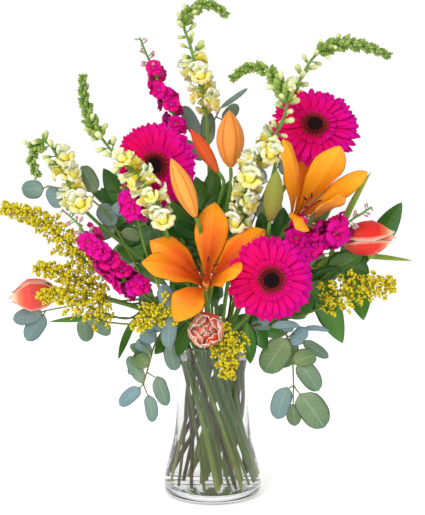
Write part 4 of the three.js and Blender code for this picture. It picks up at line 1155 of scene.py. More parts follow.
# ---- Gerberas ----------------------------------------------------------------------

@dataclass
class FacingPlant(Plant):
    """A plant whose bloom is open and faces one way."""

    facing: Triple = (0, -1, 0)

    @property
    def face(self) -> Array:
        """Gives the unit direction that the bloom faces."""
        return unit(vec(self.facing))


@dataclass
class Whorl:
    """One ring of petals.

    reach is a share of the bloom's radius, height the foot's height over the disc, rise the
    slope out from there, half the half width and start the turn of the first petal.
    """

    count: int
    reach: float
    height: float
    rise: float
    half: float
    start: float


@dataclass
class Gerbera(FacingPlant):
    """A gerbera: a bare stem with a green cup, ray petals in rings and a dark eye."""

    RAY_FOOT = 11.0
    SEPALS = 26
    INNER_RAYS = 46
    STEM_LEADS = (36, 9)
    centre: Triple = (0, 0, 0)
    radius: float = 57.0
    whorls: tuple[Whorl, ...] = (
        Whorl(28, 1.0, -5.4, 0.02, 4.9, 0.0),
        Whorl(28, 0.98, -4.4, 0.05, 4.8, 0.11),
        Whorl(27, 0.93, -3.4, 0.08, 4.6, 0.2),
        Whorl(26, 0.84, -2.4, 0.1, 4.2, 0.05),
        Whorl(30, 0.5, -1.2, 0.14, 2.6, 0.1),
    )

    def limbs(self) -> list[Limb]:
        """Routes the stem into the back of the bloom.

        Returns:
            The stem.
        """
        leads = [vec(self.centre) - self.face * lead for lead in self.STEM_LEADS]
        self.limb = self.main_limb(6, 2, 0, 0, leads)
        return [self.limb]

    def at(self, radius: Array, angle: Array, height: Array) -> Array:
        """Places points by radius and angle round the bloom and height over its disc.

        Args:
            radius: distances from the middle.
            angle: turns round it, in radians.
            height: distances out of the disc; the three share one shape.

        Returns:
            Points of that shape and 3.
        """
        sideways, upward = square_to(self.face)
        radius, angle, height = np.broadcast_arrays(radius, angle, height)
        return (
            vec(self.centre) + (radius * np.cos(angle))[..., None] * sideways
            + (radius * np.sin(angle))[..., None] * upward + height[..., None] * self.face
        )

    def outward(self, angle: Array) -> Array:
        """Gives the directions out from the middle of the bloom at angles round it."""
        return self.at(1.0, angle, 0.0) - vec(self.centre)

    def ring(self, whorl: Whorl, random: Seeded) -> Shape:
        """Makes one ring of straps: height = start + out x rise - 4 (out / reach)^2 + own bend x t^2.

        Args:
            whorl: the ring.
            random: its chance numbers.

        Returns:
            The petals.
        """
        t = np.linspace(0, 1, 13)
        count = whorl.count
        step = 2 * math.pi / count
        angle = whorl.start + (np.arange(count) + random.row(count, -0.16, 0.16)) * step
        full = self.radius * whorl.reach
        reach = full * random.row(count, 0.9, 1.0)
        radius = self.RAY_FOOT + (reach[:, None] - self.RAY_FOOT) * t
        out = radius - self.RAY_FOOT
        bend = random.row(count, -2.2, 2.2)[:, None] * t**2
        height = whorl.height + out * whorl.rise - 4 * (out / full) ** 2 + bend
        swerve = random.row(count, -0.05, 0.05)[:, None] * t**2
        middle = self.at(radius, angle[:, None] + swerve, height)
        side = self.outward(angle + math.pi / 2)
        tilt = turn_about(side, self.outward(angle), random.row(count, -0.22, 0.22))
        table = [0, 0.2, 0.45, 0.65, 0.8, 0.9, 0.96, 1]
        width = np.interp(t, table, [0.4, 0.58, 0.84, 1.0, 0.98, 0.8, 0.55, 0.2])
        half = whorl.half * width * random.row(count, 0.9, 1.08)[:, None]
        a = np.linspace(-1, 1, 9)
        furrow = 0.35 * np.cos(3 * math.pi * a) * ease(t, 0, 0.3)[:, None]
        notch = -1.6 * (0.5 + 0.5 * np.cos(4 * math.pi * a)) * ease(t, 0.88, 1)[:, None] * (1 - a**2)
        lift = -0.9 * np.sin(math.pi * t) * np.ones((count, 1))
        # Petals on the left of the bloom are painted redder and those on its right more purple: painted
        # shade on the left and a painted sheen on the right
        chance = np.clip(0.5 - 0.42 * np.cos(angle) + random.row(count, -0.15, 0.15), 0, 1)
        return blades(middle, tilt[:, None], half, lift, 0.6, chance, furrow, len(a), notch)

    def build(self, colours: Palette, order: int) -> None:
        """Builds the stem, the petals and the eye.

        Args:
            colours: the finishes.
            order: place in the bouquet's list, which picks the chance numbers.
        """
        random = Seeded(order + 2)
        stem = Piece(f"{self.name}_stalk")
        stem.add(stem_skin(self.limb, 3.0, 2.6, 14), colours.stem)
        cup = spindle([(-17.5, 0), (-17, 3.0), (-12, 8.0), (-8.4, 10.2), (-7.2, 10.4), (-6.8, 0)], 24)
        centre, across = vec(self.centre), square_to(self.face)[0]
        stem.add(cup.once(centre, self.face, across, 0.5), colours.stem)
        for row, (low, high, reach) in enumerate(((-15, -8.6, 13.5), (-13.5, -7.2, 17.0))):
            t = np.linspace(0, 1, 7)
            angle = np.arange(self.SEPALS) / self.SEPALS * 2 * math.pi + row * 0.12
            radius = 5.5 + (reach - 5.5) * t + 3.2 * np.sin(math.pi * t)
            middle = self.at(radius, angle[:, None], low + (high - low) * t)
            side = self.outward(angle + math.pi / 2)[:, None]
            half = 1.5 * np.sin(math.pi * (0.25 + 0.72 * t)) * np.ones((self.SEPALS, 1))
            sepals = blades(middle, side, half, -0.3, 0.5, random.row(self.SEPALS), across=5)
            stem.add(sepals, colours.stem)
        stem.make("stem", f"{self.name}_stem")
        rays = Piece(f"{self.name}_rays")
        for whorl in self.whorls:
            rays.add(self.ring(whorl, random), colours.gerbera)
        hub = spindle([(-6.6, 0), (-6.4, 11.0), (-3, 12.5), (-1.0, 12.4), (-0.9, 0)], 32)
        rays.add(hub.once(centre, self.face, across, 0.2), colours.gerbera_ruff)
        rays.make("gerbera_petal", f"{self.name}_petals")
        self.eye(colours, random)

    def eye(self, colours: Palette, random: Seeded) -> None:
        """Builds the eye: florets on a golden-angle spiral, radius = r x sqrt(i / count), over a dome.

        Args:
            colours: the finishes.
            random: chance numbers.
        """
        eye = Piece(f"{self.name}_florets")
        across = square_to(self.face)[0]
        profile = [(-0.6, 0), (-0.5, 12.0), (1.2, 12.4), (2.2, 11), (3.0, 7), (2.6, 4), (2.4, 0)]
        dome = spindle(profile, 32)
        eye.add(dome.once(vec(self.centre), self.face, across, 0.3), colours.gerbera_eye)
        seed = spindle([(0, 0), (0.2, 0.32), (0.75, 0.4), (1, 0)], 5, 0.0, 5)
        for count, low, high, tall, lean, finish in (
            (230, 0.0, 9.2, 2.2, 0.15, colours.gerbera_eye),
            (150, 9.0, 12.6, 3.6, 0.55, colours.gerbera_ruff),
        ):
            share = (np.arange(count) + 0.5) / count
            radius = np.sqrt(low**2 + (high**2 - low**2) * share)
            angle = np.arange(count) * GOLDEN_ANGLE
            dip = 1.1 * np.exp(-(radius / 3.5) ** 2)
            places = self.at(radius, angle, 2.5 - dip - 1.4 * ease(radius, 9, 13))
            axes = self.face + self.outward(angle) * (lean * radius / 9)[:, None]
            wide = np.full(count, 1.9)
            sizes = np.stack([wide, wide, tall * random.row(count, 0.8, 1.15)], axis=-1)
            eye.add(seed.placed(places, axes, np.repeat(across[None], count, axis=0), sizes,
                                random.row(count)), finish)
        # Short inner rays lie round the eye as a wine-red ruff
        t = np.linspace(0, 1, 6)
        count = self.INNER_RAYS
        angle = np.arange(count) / count * 2 * math.pi + random.row(count, -0.05, 0.05)
        tip = random.row(count, 16.0, 20.5)[:, None]
        radius = self.RAY_FOOT + (tip - self.RAY_FOOT) * t
        middle = self.at(radius, angle[:, None], 0.9 + 1.6 * np.sin(2.2 * t))
        side = self.outward(angle + math.pi / 2)[:, None]
        half = 1.25 * np.sin(math.pi * (0.2 + 0.75 * t)) * np.ones((count, 1))
        ruff = blades(middle, side, half, -0.2, 0.4, random.row(count), across=5)
        eye.add(ruff, colours.gerbera_ruff)
        eye.make("gerbera_eye", f"{self.name}_centre")


# ---- Lilies and tulips -------------------------------------------------------------

@dataclass
class LilyBud:
    """A closed lily bud; one without a name belongs to the stem's piece."""

    name: str
    foot: Triple
    tip: Triple
    radius: float
    pale: float = 0.3

    def skin(self) -> Shape:
        """Makes the bud: three long seams sink a tenth into its radius, between six soft ribs.

        Returns:
            The closed bud.
        """
        length = float(np.linalg.norm(vec(self.tip) - vec(self.foot)))
        r = self.radius
        angle = np.arange(30) / 30 * 2 * math.pi
        seams = -0.1 * np.exp(-((np.mod(angle, 2 * math.pi / 3) - math.pi / 3) / 0.16) ** 2)
        seams = seams + 0.035 * np.cos(6 * angle)
        shares = ((0, 0), (0.015, 3.0), (0.1, r * 0.5), (0.22, r * 0.76), (0.38, r * 0.96),
                  (0.5, r), (0.65, r * 0.9), (0.8, r * 0.64), (0.92, r * 0.32), (1, 0))
        body = spindle([(share * length, radius) for share, radius in shares], 30, seams, 26)
        axis = heading(self.foot, self.tip)
        return body.once(vec(self.foot), axis, square_to(axis)[0], self.pale)


@dataclass
class Lily(FacingPlant):
    """A lily: its stem forks into the bloom and its buds; six tepals sweep out of a narrow throat."""

    HEART_DEPTH = 42.0
    STAMENS = 6
    throat: Triple = (0, 0, 0)
    tepals: list[tuple[Triple, float, float]] = field(default_factory=list)
    branches: list[Branch] = field(default_factory=list)
    buds: list[LilyBud] = field(default_factory=list)

    def limbs(self) -> list[Limb]:
        """Routes the stem into the heart of the bloom and a branch to each bud.

        Returns:
            The stem and the branches.
        """
        leads = [self.heart - self.face * 15, self.heart - self.face * 0.7]
        self.limb = self.main_limb(7, 2, 0, 0, leads)
        self.sides = []
        for branch, bud in zip(self.branches, self.buds):
            back = vec(bud.foot) - heading(bud.foot, bud.tip) * 14
            self.sides.append(self.side_limb(self.limb, branch, 5, 2, 0, 0, [back, bud.foot]))
        return [self.limb, *self.sides]

    @property
    def heart(self) -> Array:
        """Gives the place where the tepals leave the stem, straight behind the throat."""
        return vec(self.throat) - self.face * self.HEART_DEPTH

    def tepal(self, tip: Triple, half: float, lift: float, chance: float, random: Seeded) -> Shape:
        """Makes one tepal along a curve of four pulls: heart, mouth, a crest over the tip, the tip.

        A point at share t is heart (1-t)^3 + 3 mouth (1-t)^2 t + 3 crest (1-t) t^2 + tip t^3.

        Args:
            tip: where it ends.
            half: half of its greatest width.
            lift: how far its edges stand over its middle.
            chance: how golden it is, 0 to 1.
            random: chance numbers.

        Returns:
            The tepal.
        """
        facing, throat, end = self.face, vec(self.throat), vec(tip)
        mouth = throat - facing * 6
        outward = end - throat
        outward = unit(outward - facing * (outward @ facing))
        t = np.linspace(0, 1, 30)[:, None]
        one = self.heart + outward * 3 + facing * 2
        two = mouth + outward * 17
        three = end + (mouth - end) * 0.4 + facing * 17
        middle = (one * (1 - t) ** 3 + two * 3 * (1 - t) ** 2 * t + three * 3 * (1 - t) * t**2
                  + end * t**3)[None]
        t = t[:, 0]
        table = [0, 0.15, 0.3, 0.42, 0.52, 0.62, 0.72, 0.82, 0.9, 0.96, 1]
        shares = [0.1, 0.2, 0.44, 0.74, 0.93, 1, 0.98, 0.84, 0.6, 0.33, 0.06]
        width = 1.28 * half * np.interp(t, table, shares)
        a = np.linspace(-1, 1, 15)
        frill = 2.2 * np.sin(2 * math.pi * 2.6 * t + 6 * random())[:, None] * np.sign(a) * np.abs(a) ** 3
        furrow = -2.2 * np.exp(-(a / 0.16) ** 2) * ease(t, 0.1, 0.4)[:, None]
        fade = ease(t, 0.3, 0.6)[:, None] * (1 - ease(t, 0.9, 1))[:, None]
        edges = (lift + 1.5) * (width / half)[None]
        return blades(middle, np.cross(facing, outward), width[None], edges, 1.0, np.array([chance]),
                      frill * fade + furrow, len(a))

    def build(self, colours: Palette, order: int) -> None:
        """Builds the stem with any bud that belongs to it, the bloom and the other buds.

        Args:
            colours: the finishes.
            order: place in the bouquet's list, which picks the chance numbers.
        """
        random = Seeded(order + 71)
        stem = Piece(f"{self.name}_stalk")
        stem.add(stem_skin(self.limb, 3.5, 3.0, 14), colours.stem)
        for side in self.sides:
            stem.add(stem_skin(side, 2.5, 2.3, 12), colours.stem)
        for bud in self.buds:
            if bud.name == "":
                stem.add(bud.skin(), colours.green_bud)
        stem.make("stem", f"{self.name}_stem")
        bloom = Piece(f"{self.name}_tepals")
        for tip, half, lift in self.tepals:
            bloom.add(self.tepal(tip, half, lift, (order + random()) / 2, random), colours.lily)
        self.dress_throat(bloom, colours, random)
        bloom.make("lily_petal", f"{self.name}_bloom")
        for bud in self.buds:
            if bud.name:
                piece = Piece(f"{bud.name}_skin")
                piece.add(bud.skin(), colours.lily_bud)
                piece.make("lily_bud", bud.name)

    def dress_throat(self, bloom: Piece, colours: Palette, random: Seeded) -> None:
        """Adds the neck, the pistil and the stamens with their anthers.

        A stamen's point at share t is heart + face x 52 t + out x (1.6 + 11 t^2).

        Args:
            bloom: the piece that they go into.
            colours: the finishes.
            random: chance numbers.
        """
        facing, heart = self.face, self.heart
        count, rows = self.STAMENS, 12
        t = np.linspace(0, 1, rows)[:, None]
        neck = spindle([(-1, 0), (-0.5, 3.4), (8, 4.4), (16, 5.2), (17, 0)], 18)
        across = square_to(facing)[0]
        bloom.add(neck.once(heart, facing, across, 1.0), colours.lily_bud)
        pistil = (heart + (vec(self.throat) + facing * 16 - heart) * t)[None]
        knob = np.interp(t[:, 0], [0, 0.9, 0.94, 1], [1.7, 1.1, 2.6, 2.0])
        bloom.add(tubes(pistil, knob[None], 12, np.ones(1)), colours.stamen)
        turn = np.arange(count) / count * 2 * math.pi + 0.3
        outward = across * np.cos(turn)[:, None] + np.cross(facing, across) * np.sin(turn)[:, None]
        reach = (t * 52)[None] * facing + (t**2 * 11)[None] * outward[:, None]
        threads = heart + outward[:, None] * 1.6 + reach
        bloom.add(tubes(threads, np.full((count, rows), 0.65), 6, random.row(count)), colours.stamen)
        pod = spindle([(0, 0), (1, 1.1), (4, 1.3), (7, 0.9), (8, 0)], 8)
        bloom.add(pod.placed(threads[:, -1] - outward * 4, outward + facing * 0.2,
                             np.tile(facing, (count, 1)), np.ones(count), random.row(count)),
                  colours.anther)


LEAF_OUTLINES = {
    "round": ((0, 0.04, 0.12, 0.25, 0.4, 0.55, 0.7, 0.83, 0.93, 0.98, 1),
              (0.08, 0.3, 0.66, 0.93, 1.0, 1.0, 0.95, 0.8, 0.55, 0.3, 0.1)),
    "pointed": ((0, 0.05, 0.15, 0.28, 0.42, 0.58, 0.72, 0.85, 0.94, 1),
                (0.05, 0.25, 0.66, 0.94, 1.0, 0.95, 0.77, 0.5, 0.25, 0.03)),
    "strap": ((0, 0.1, 0.35, 0.7, 0.9, 1), (0.4, 0.7, 1.0, 0.85, 0.45, 0.03)),
}


def leaf_rows(rows: Sequence[Sequence[Any]], outline: str, limbs: list[Limb], random: Seeded,
              thick: float, lift: float) -> tuple[Shape, Shape]:
    """Makes leaves and their short stalks: each middle line arches by a tenth of its length.

    Args:
        rows: foot point, tip point, width and twist in degrees of each leaf.
        outline: name of the outline.
        limbs: the stems that carry them.
        random: chance numbers.
        thick: thickness at the rib.
        lift: height of the edges, as a share of the width.

    Returns:
        The blades, and the stalks from the nearest stem to each foot.
    """
    foot, tip, width, twist = (np.array(column, dtype=float) for column in zip(*rows))
    count = len(rows)
    along = unit(tip - foot)
    side = unit(np.cross(vec((0, -1, 0)), along) + 1e-6)
    side = turn_about(side, along, np.radians(twist))
    face = np.cross(side, along)
    t = np.linspace(0, 1, 17)
    arch = 0.4 * np.linalg.norm(tip - foot, axis=1)[:, None] * (t * (1 - t))
    middle = foot[:, None] + (tip - foot)[:, None] * t[:, None] + face[:, None] * arch[..., None]
    places, shares = LEAF_OUTLINES[outline]
    half = width[:, None] / 2 * np.interp(t, places, shares)
    a = np.linspace(-1, 1, 11)
    phase = random.row(count, 0, 6.28)[:, None, None]
    roll = width[:, None, None] * 0.025 * np.sin(5 * t[:, None] + 2.2 * a + phase) * a**2
    keel = -0.02 * width[:, None, None] * np.exp(-(a / 0.12) ** 2) * np.sin(math.pi * t)[:, None]
    leaves = blades(middle, side[:, None], half, lift * 2 * half, thick, random.row(count),
                    roll + keel, len(a))
    line = np.concatenate([follow(limb.points[max(limb.inside - 1, 0):], 4.0)[0] for limb in limbs])
    root = line[np.argmin(np.linalg.norm(line[None] - foot[:, None], axis=2), axis=1)]
    s = np.linspace(0, 1, 7)[:, None]
    inner = foot + along * 3
    stalk = root[:, None] + (inner - root)[:, None] * s
    stalk[..., 2] -= 0.12 * np.linalg.norm(inner - root, axis=1)[:, None] * (s * (1 - s))[:, 0]
    radii = np.linspace(1.0, 0.7, 7) * np.ones((count, 1))
    return leaves, tubes(stalk, radii, 7, random.row(count))


@dataclass
class Tulip(Plant):
    """A tulip: a smooth stem, long leaves and a cup of six or of many petals."""

    foot: Triple = (0, 0, 0)
    tip: Triple = (0, 0, 1)
    radius: float = 21.0
    opening: int = 0
    pale: float = 0.1
    leaves: list[Sequence[Any]] = field(default_factory=list)

    def limbs(self) -> list[Limb]:
        """Routes the stem to the foot of the cup.

        Returns:
            The stem.
        """
        foot, axis = vec(self.foot), heading(self.foot, self.tip)
        self.limb = self.main_limb(7, 2, 0, 0, [foot - axis * 14, foot - axis * 0.2])
        return [self.limb]

    def petals(self, count: int, turn: float, scale: float, reach: float, spread: float,
               wrap: float, random: Seeded) -> Shape:
        """Makes petals on a turned cup: a point at (t, a) stands at radius r(t), round by a x wrap.

        Args:
            count: petals in the ring.
            turn: angle of the first.
            scale: share of the cup's radius.
            reach: share of its height.
            spread: radius share at the mouth.
            wrap: greatest half angle that a petal covers.
            random: chance numbers.

        Returns:
            The petals.
        """
        foot, axis = vec(self.foot), heading(self.foot, self.tip)
        tall = float(np.linalg.norm(vec(self.tip) - foot))
        sideways, upward = square_to(axis)
        t = np.linspace(0, 1, 21)
        a = np.linspace(-1, 1, 13)
        profile = np.interp(t, [0, 0.03, 0.1, 0.24, 0.42, 0.6, 0.8, 0.92, 1],
                            [0.12, 0.3, 0.6, 0.86, 0.98, 1.0, 0.5 + spread / 2, spread * 1.1, spread])
        top = [0.98, 0.86, 0.6, 0.22] if self.opening else [0.85, 0.6, 0.32, 0.06]
        outline = [0.5, 0.75, 0.95, 1.0, *top]
        cover = wrap * np.interp(t, [0, 0.1, 0.3, 0.55, 0.78, 0.9, 0.97, 1], outline)
        own = turn + np.arange(count) / count * 2 * math.pi + random.row(count, -0.08, 0.08)
        angle = own[:, None, None] + cover[:, None] * a
        wide = self.radius * scale * random.row(count, 0.95, 1.03)[:, None, None]
        flare = 1 + 0.05 * a**2 * ease(t, 0.3, 0.9)[:, None] - 0.05 * np.exp(-(a / 0.16) ** 2)
        ruffle = np.sin(4 * a + random.row(count, 0, 6)[:, None, None]) * ease(t, 0.55, 1)[:, None]
        flare = flare + 0.11 * self.opening * ruffle
        radius = wide * profile[:, None] * flare
        full = tall * reach * random.row(count, 0.95 - 0.1 * self.opening, 1.0)
        height = full[:, None, None] * t[:, None] * np.ones_like(angle)
        outward = np.cos(angle)[..., None] * sideways + np.sin(angle)[..., None] * upward
        thick = 0.5 * (1 - a**6)[None, None, :, None]
        line = foot + axis * 0.6 + height[..., None] * axis + outward * radius[..., None]
        chance = random.row(count) if self.opening else self.pale * (0.3 + 0.8 * random.row(count))
        return shells(line + outward * thick, line - outward * thick, chance)

    def build(self, colours: Palette, order: int) -> None:
        """Builds the stem with its leaves, and the cup.

        Args:
            colours: the finishes.
            order: place in the bouquet's list, which picks the chance numbers.
        """
        random = Seeded(order + 91)
        stem = Piece(f"{self.name}_stalk")
        stem.add(stem_skin(self.limb, 3.5, 3.2, 14), colours.stem)
        if self.leaves:
            blade, stalk = leaf_rows(self.leaves, "strap", [self.limb], random, 1.2, 0.12)
            for shape in (blade, stalk):
                stem.add(shape, colours.tulip_leaf)
        stem.make("stem", f"{self.name}_stem")
        head = Piece(f"{self.name}_cup")
        if self.opening:
            # A low closed dome inside keeps the looser petals from showing a hollow
            rings = ((5, 0.0, 1.0, 0.82, 0.72, 0.78), (4, 0.6, 0.9, 0.92, 0.52, 0.72),
                     (4, 0.3, 0.84, 0.8, 0.05, 1.0), (4, 0.1, 0.66, 0.95, 0.36, 0.72),
                     (3, 0.8, 0.4, 1.0, 0.16, 0.9))
            for ring in rings:
                head.add(self.petals(*ring, random), colours.double_tulip)
        else:
            # The inner three draw together, so that no hollow shows between the tips
            for ring in ((3, 1.05, 0.88, 1.0, 0.08, 1.25), (3, 0.0, 1.0, 0.96, 0.34, 1.12)):
                head.add(self.petals(*ring, random), colours.tulip)
        head.make("tulip_petal", f"{self.name}_head")


# ---- Snapdragons, stocks and goldenrod ----------------------------------------------

def around(axes: Array, turns: Array) -> Array:
    """Gives the direction out of a stem at each place: sideways cos + upward sin of its turn."""
    sideways, upward = square_to(axes)
    return sideways * np.cos(turns)[:, None] + upward * np.sin(turns)[:, None]


def stalks(starts: Array, reach: Array, radius: float, sides: int, chance: Array) -> Shape:
    """Makes straight stalks: a point at share t is start + reach x t.

    Args:
        starts: their feet, shape (c, 3).
        reach: from foot to top, shape (c, 3).
        radius: radius all along.
        sides: points around.
        chance: one number for each, shape (c,).

    Returns:
        The closed stalks.
    """
    line = starts[:, None] + reach[:, None] * np.linspace(0, 1, 4)[:, None]
    return tubes(line, np.full(line.shape[:2], radius), sides, chance)


def lobes(angles: Sequence[float], root: float, mouth: float, reach: float, half: float, curl: float,
          ruffle: float) -> Shape:
    """Makes petals round +Z: each rises from the root ring and curls outwards past the mouth.

    Height = mouth x sin(pi t / 2) - curl t^3, radius = root + (reach - root) t^1.4.

    Args:
        angles: direction of each petal.
        root: radius where they start.
        mouth: height that they rise to.
        reach: radius of their tips.
        half: half of their width.
        curl: how far the tips drop back.
        ruffle: height of the waves in their edges.

    Returns:
        The petals.
    """
    t = np.linspace(0, 1, 8)
    angle = np.array(angles, dtype=float)
    count = len(angle)
    radius = root + (reach - root) * t**1.4
    height = mouth * np.sin(math.pi * t / 2) - curl * t**3
    outward = np.stack([np.cos(angle), np.sin(angle), 0 * angle], axis=-1)
    middle = outward[:, None] * radius[:, None] + vec((0, 0, 1)) * height[:, None]
    side = np.stack([-np.sin(angle), np.cos(angle), 0 * angle], axis=-1)
    width = half * np.interp(t, [0, 0.3, 0.65, 0.88, 1], [0.3, 0.6, 1.0, 0.92, 0.45])
    a = np.linspace(-1, 1, 7)
    phase = np.arange(count)[:, None, None] * 1.7
    wave = ruffle * np.sin(3.1 * a + 5 * t[:, None] + phase) * ease(t, 0.3, 0.9)[:, None]
    return blades(middle, side[:, None], width * np.ones((count, 1)), 0.0, 0.4, np.zeros(count),
                  wave, len(a))


@dataclass
class Snapdragon(Plant):
    """A snapdragon: a spike of downy green buds that turns to two-lipped white flowers below."""

    FLOWER_SPACING = 12
    SMALL_FLOWER = 0.82
    flowers: float = 190.0
    buds: float = 118.0

    def limbs(self) -> list[Limb]:
        """Routes the stem to the tip of the spike."""
        self.limb = self.main_limb(5.5, 0, 6, 7)
        return [self.limb]

    def bud_rows(self, random: Seeded) -> tuple[Array, Array, Array]:
        """Places buds up the spike in whorls of three, each turned against the one below.

        Args:
            random: chance numbers.

        Returns:
            Places, directions and lengths of the buds.
        """
        distances, turns, sizes = [], [], []
        distance, odd = self.buds * 0.66, 0
        while distance > 1.5:
            size = 4.6 + min(distance * 0.075, 6.0)
            for extra in (0.0, 0.5):
                for i in range(3):
                    distances.append(max(distance - extra * (5.4 + distance * 0.06) * 0.9, 0.5))
                    turns.append((odd + extra * 1.3) * math.pi / 3 + i * 2 * math.pi / 3)
                    sizes.append(size * (0.9 + 0.25 * random()) * (1 - 0.12 * extra))
            odd = 1 - odd
            distance -= 5.4 + distance * 0.06
        places, axes = Walk(self.limb.points).at(np.array(distances))
        out = around(axes, np.array(turns))
        size = np.array(sizes)
        lean = unit(out * 0.85 + axes * 0.75)
        return places + out * 1.6, lean, size

    def build(self, colours: Palette, order: int) -> None:
        """Builds the spike: stem, buds with their cups, swollen buds and open flowers.

        Args:
            colours: the finishes.
            order: place in the bouquet's list, which picks the chance numbers.
        """
        random = Seeded(order + 11)
        spike = Piece(f"{self.name}_spike")
        spike.add(stem_skin(self.limb, 2.8, 1.4, 10), colours.stem)
        bud = spindle([(0, 0), (0.06, 0.12), (0.3, 0.24), (0.6, 0.26), (0.86, 0.16), (1, 0)], 8, 0.0, 7)
        cup = spindle([(0, 0), (0.05, 0.14), (0.3, 0.28), (0.42, 0.27), (0.44, 0)], 7, 0.0, 6)
        places, lean, size = self.bud_rows(random)
        chance = random.row(len(size))
        ups = square_to(lean)[0]
        spike.add(bud.placed(places, lean, ups, size * 1.25, chance), colours.snap_bud)
        spike.add(cup.placed(places, lean, ups, size * 1.2, chance * 0.2), colours.stem)
        walk = Walk(self.limb.points)
        # Swollen buds stand off the stem between the green spike and the open flowers
        distances = np.arange(self.buds * 0.5, self.buds + 8, 5.6)
        count = len(distances)
        places, axes = walk.at(distances)
        out = around(axes, np.arange(count) * GOLDEN_ANGLE + 1.0)
        lean = unit(out + axes * random.row(count, 0.2, 0.7)[:, None])
        far = random.row(count, 2.5, 7.5)
        starts = places + lean * far[:, None]
        size = random.row(count, 10.5, 16.5)
        swollen = [(0, 0), (0.08, 0.12), (0.35, 0.19), (0.72, 0.26), (0.92, 0.19), (1, 0)]
        club = spindle(swollen, 9, 0.0, 9)
        spike.add(club.placed(starts, lean, axes, size, random.row(count)), colours.snap_club)
        cups = cup.placed(starts - lean * 0.5, lean, axes, size * 0.75, random.row(count))
        spike.add(cups, colours.snap_bud)
        spike.add(stalks(places, starts + lean - places, 0.9, 6, random.row(count)), colours.stem)
        self.open_flowers(spike, walk, colours, order)
        spike.make("snapdragon", self.name)

    def open_flowers(self, spike: Piece, walk: Walk, colours: Palette, order: int) -> None:
        """Adds the open flowers, by the golden angle, and smaller ones between them.

        Args:
            spike: the piece that they go into.
            walk: places down the spike.
            colours: the finishes.
            order: place in the bouquet's list, which picks the chance numbers.
        """
        random = Seeded(order + 11)
        turn = random() * 6
        rows = []
        distance = self.buds + 2
        while distance < self.flowers:
            turn += GOLDEN_ANGLE
            swing = random()
            rows.append((distance, turn, swing, 1.0))
            rows.append((distance + self.FLOWER_SPACING / 2, turn + 2.0, 1 - swing, self.SMALL_FLOWER))
            distance += self.FLOWER_SPACING
        far, turns, swing, scale = np.array(rows).T
        places, axes = walk.at(far)
        out = around(axes, turns)
        lean = unit(out + axes * (0.25 - 0.3 * swing)[:, None])
        reach = (20 + 5 * swing) * scale / 19
        chance = random.row(len(rows))
        tube = spindle([(0, 0), (0.5, 2.6), (4, 3.6), (9, 5.0), (11.5, 4.0), (12.6, 0)], 12)
        upper = lobes((-0.5, 0.5), 3.4, 18.5, 11.0, 6.6, 3.5, 0.8)
        lower = lobes((math.pi - 1.0, math.pi, math.pi + 1.0), 4.2, 16.0, 13.0, 6.6, 6.0, 0.8)
        palate = spindle([(7, 0), (8, 2.8), (10.4, 4.6), (12.2, 3.6), (12.9, 0)], 10)
        cup = spindle([(-0.5, 0), (0, 2.6), (3, 4.0), (4.6, 4.1), (4.7, 0)], 8)
        # The palate lies low, on the side of the lower lip
        x = unit(axes - lean * (axes * lean).sum(-1, keepdims=True))
        for shape, finish, shift in (
            (tube, colours.snap_petal, 0.0), (upper, colours.snap_petal, 0.0),
            (lower, colours.snap_lip, 0.0), (palate, colours.snap_palate, -2.9),
            (cup, colours.snap_bud, 0.0),
        ):
            spike.add(shape.placed(places + lean * 0.5 + x * shift, lean, axes, reach, chance), finish)


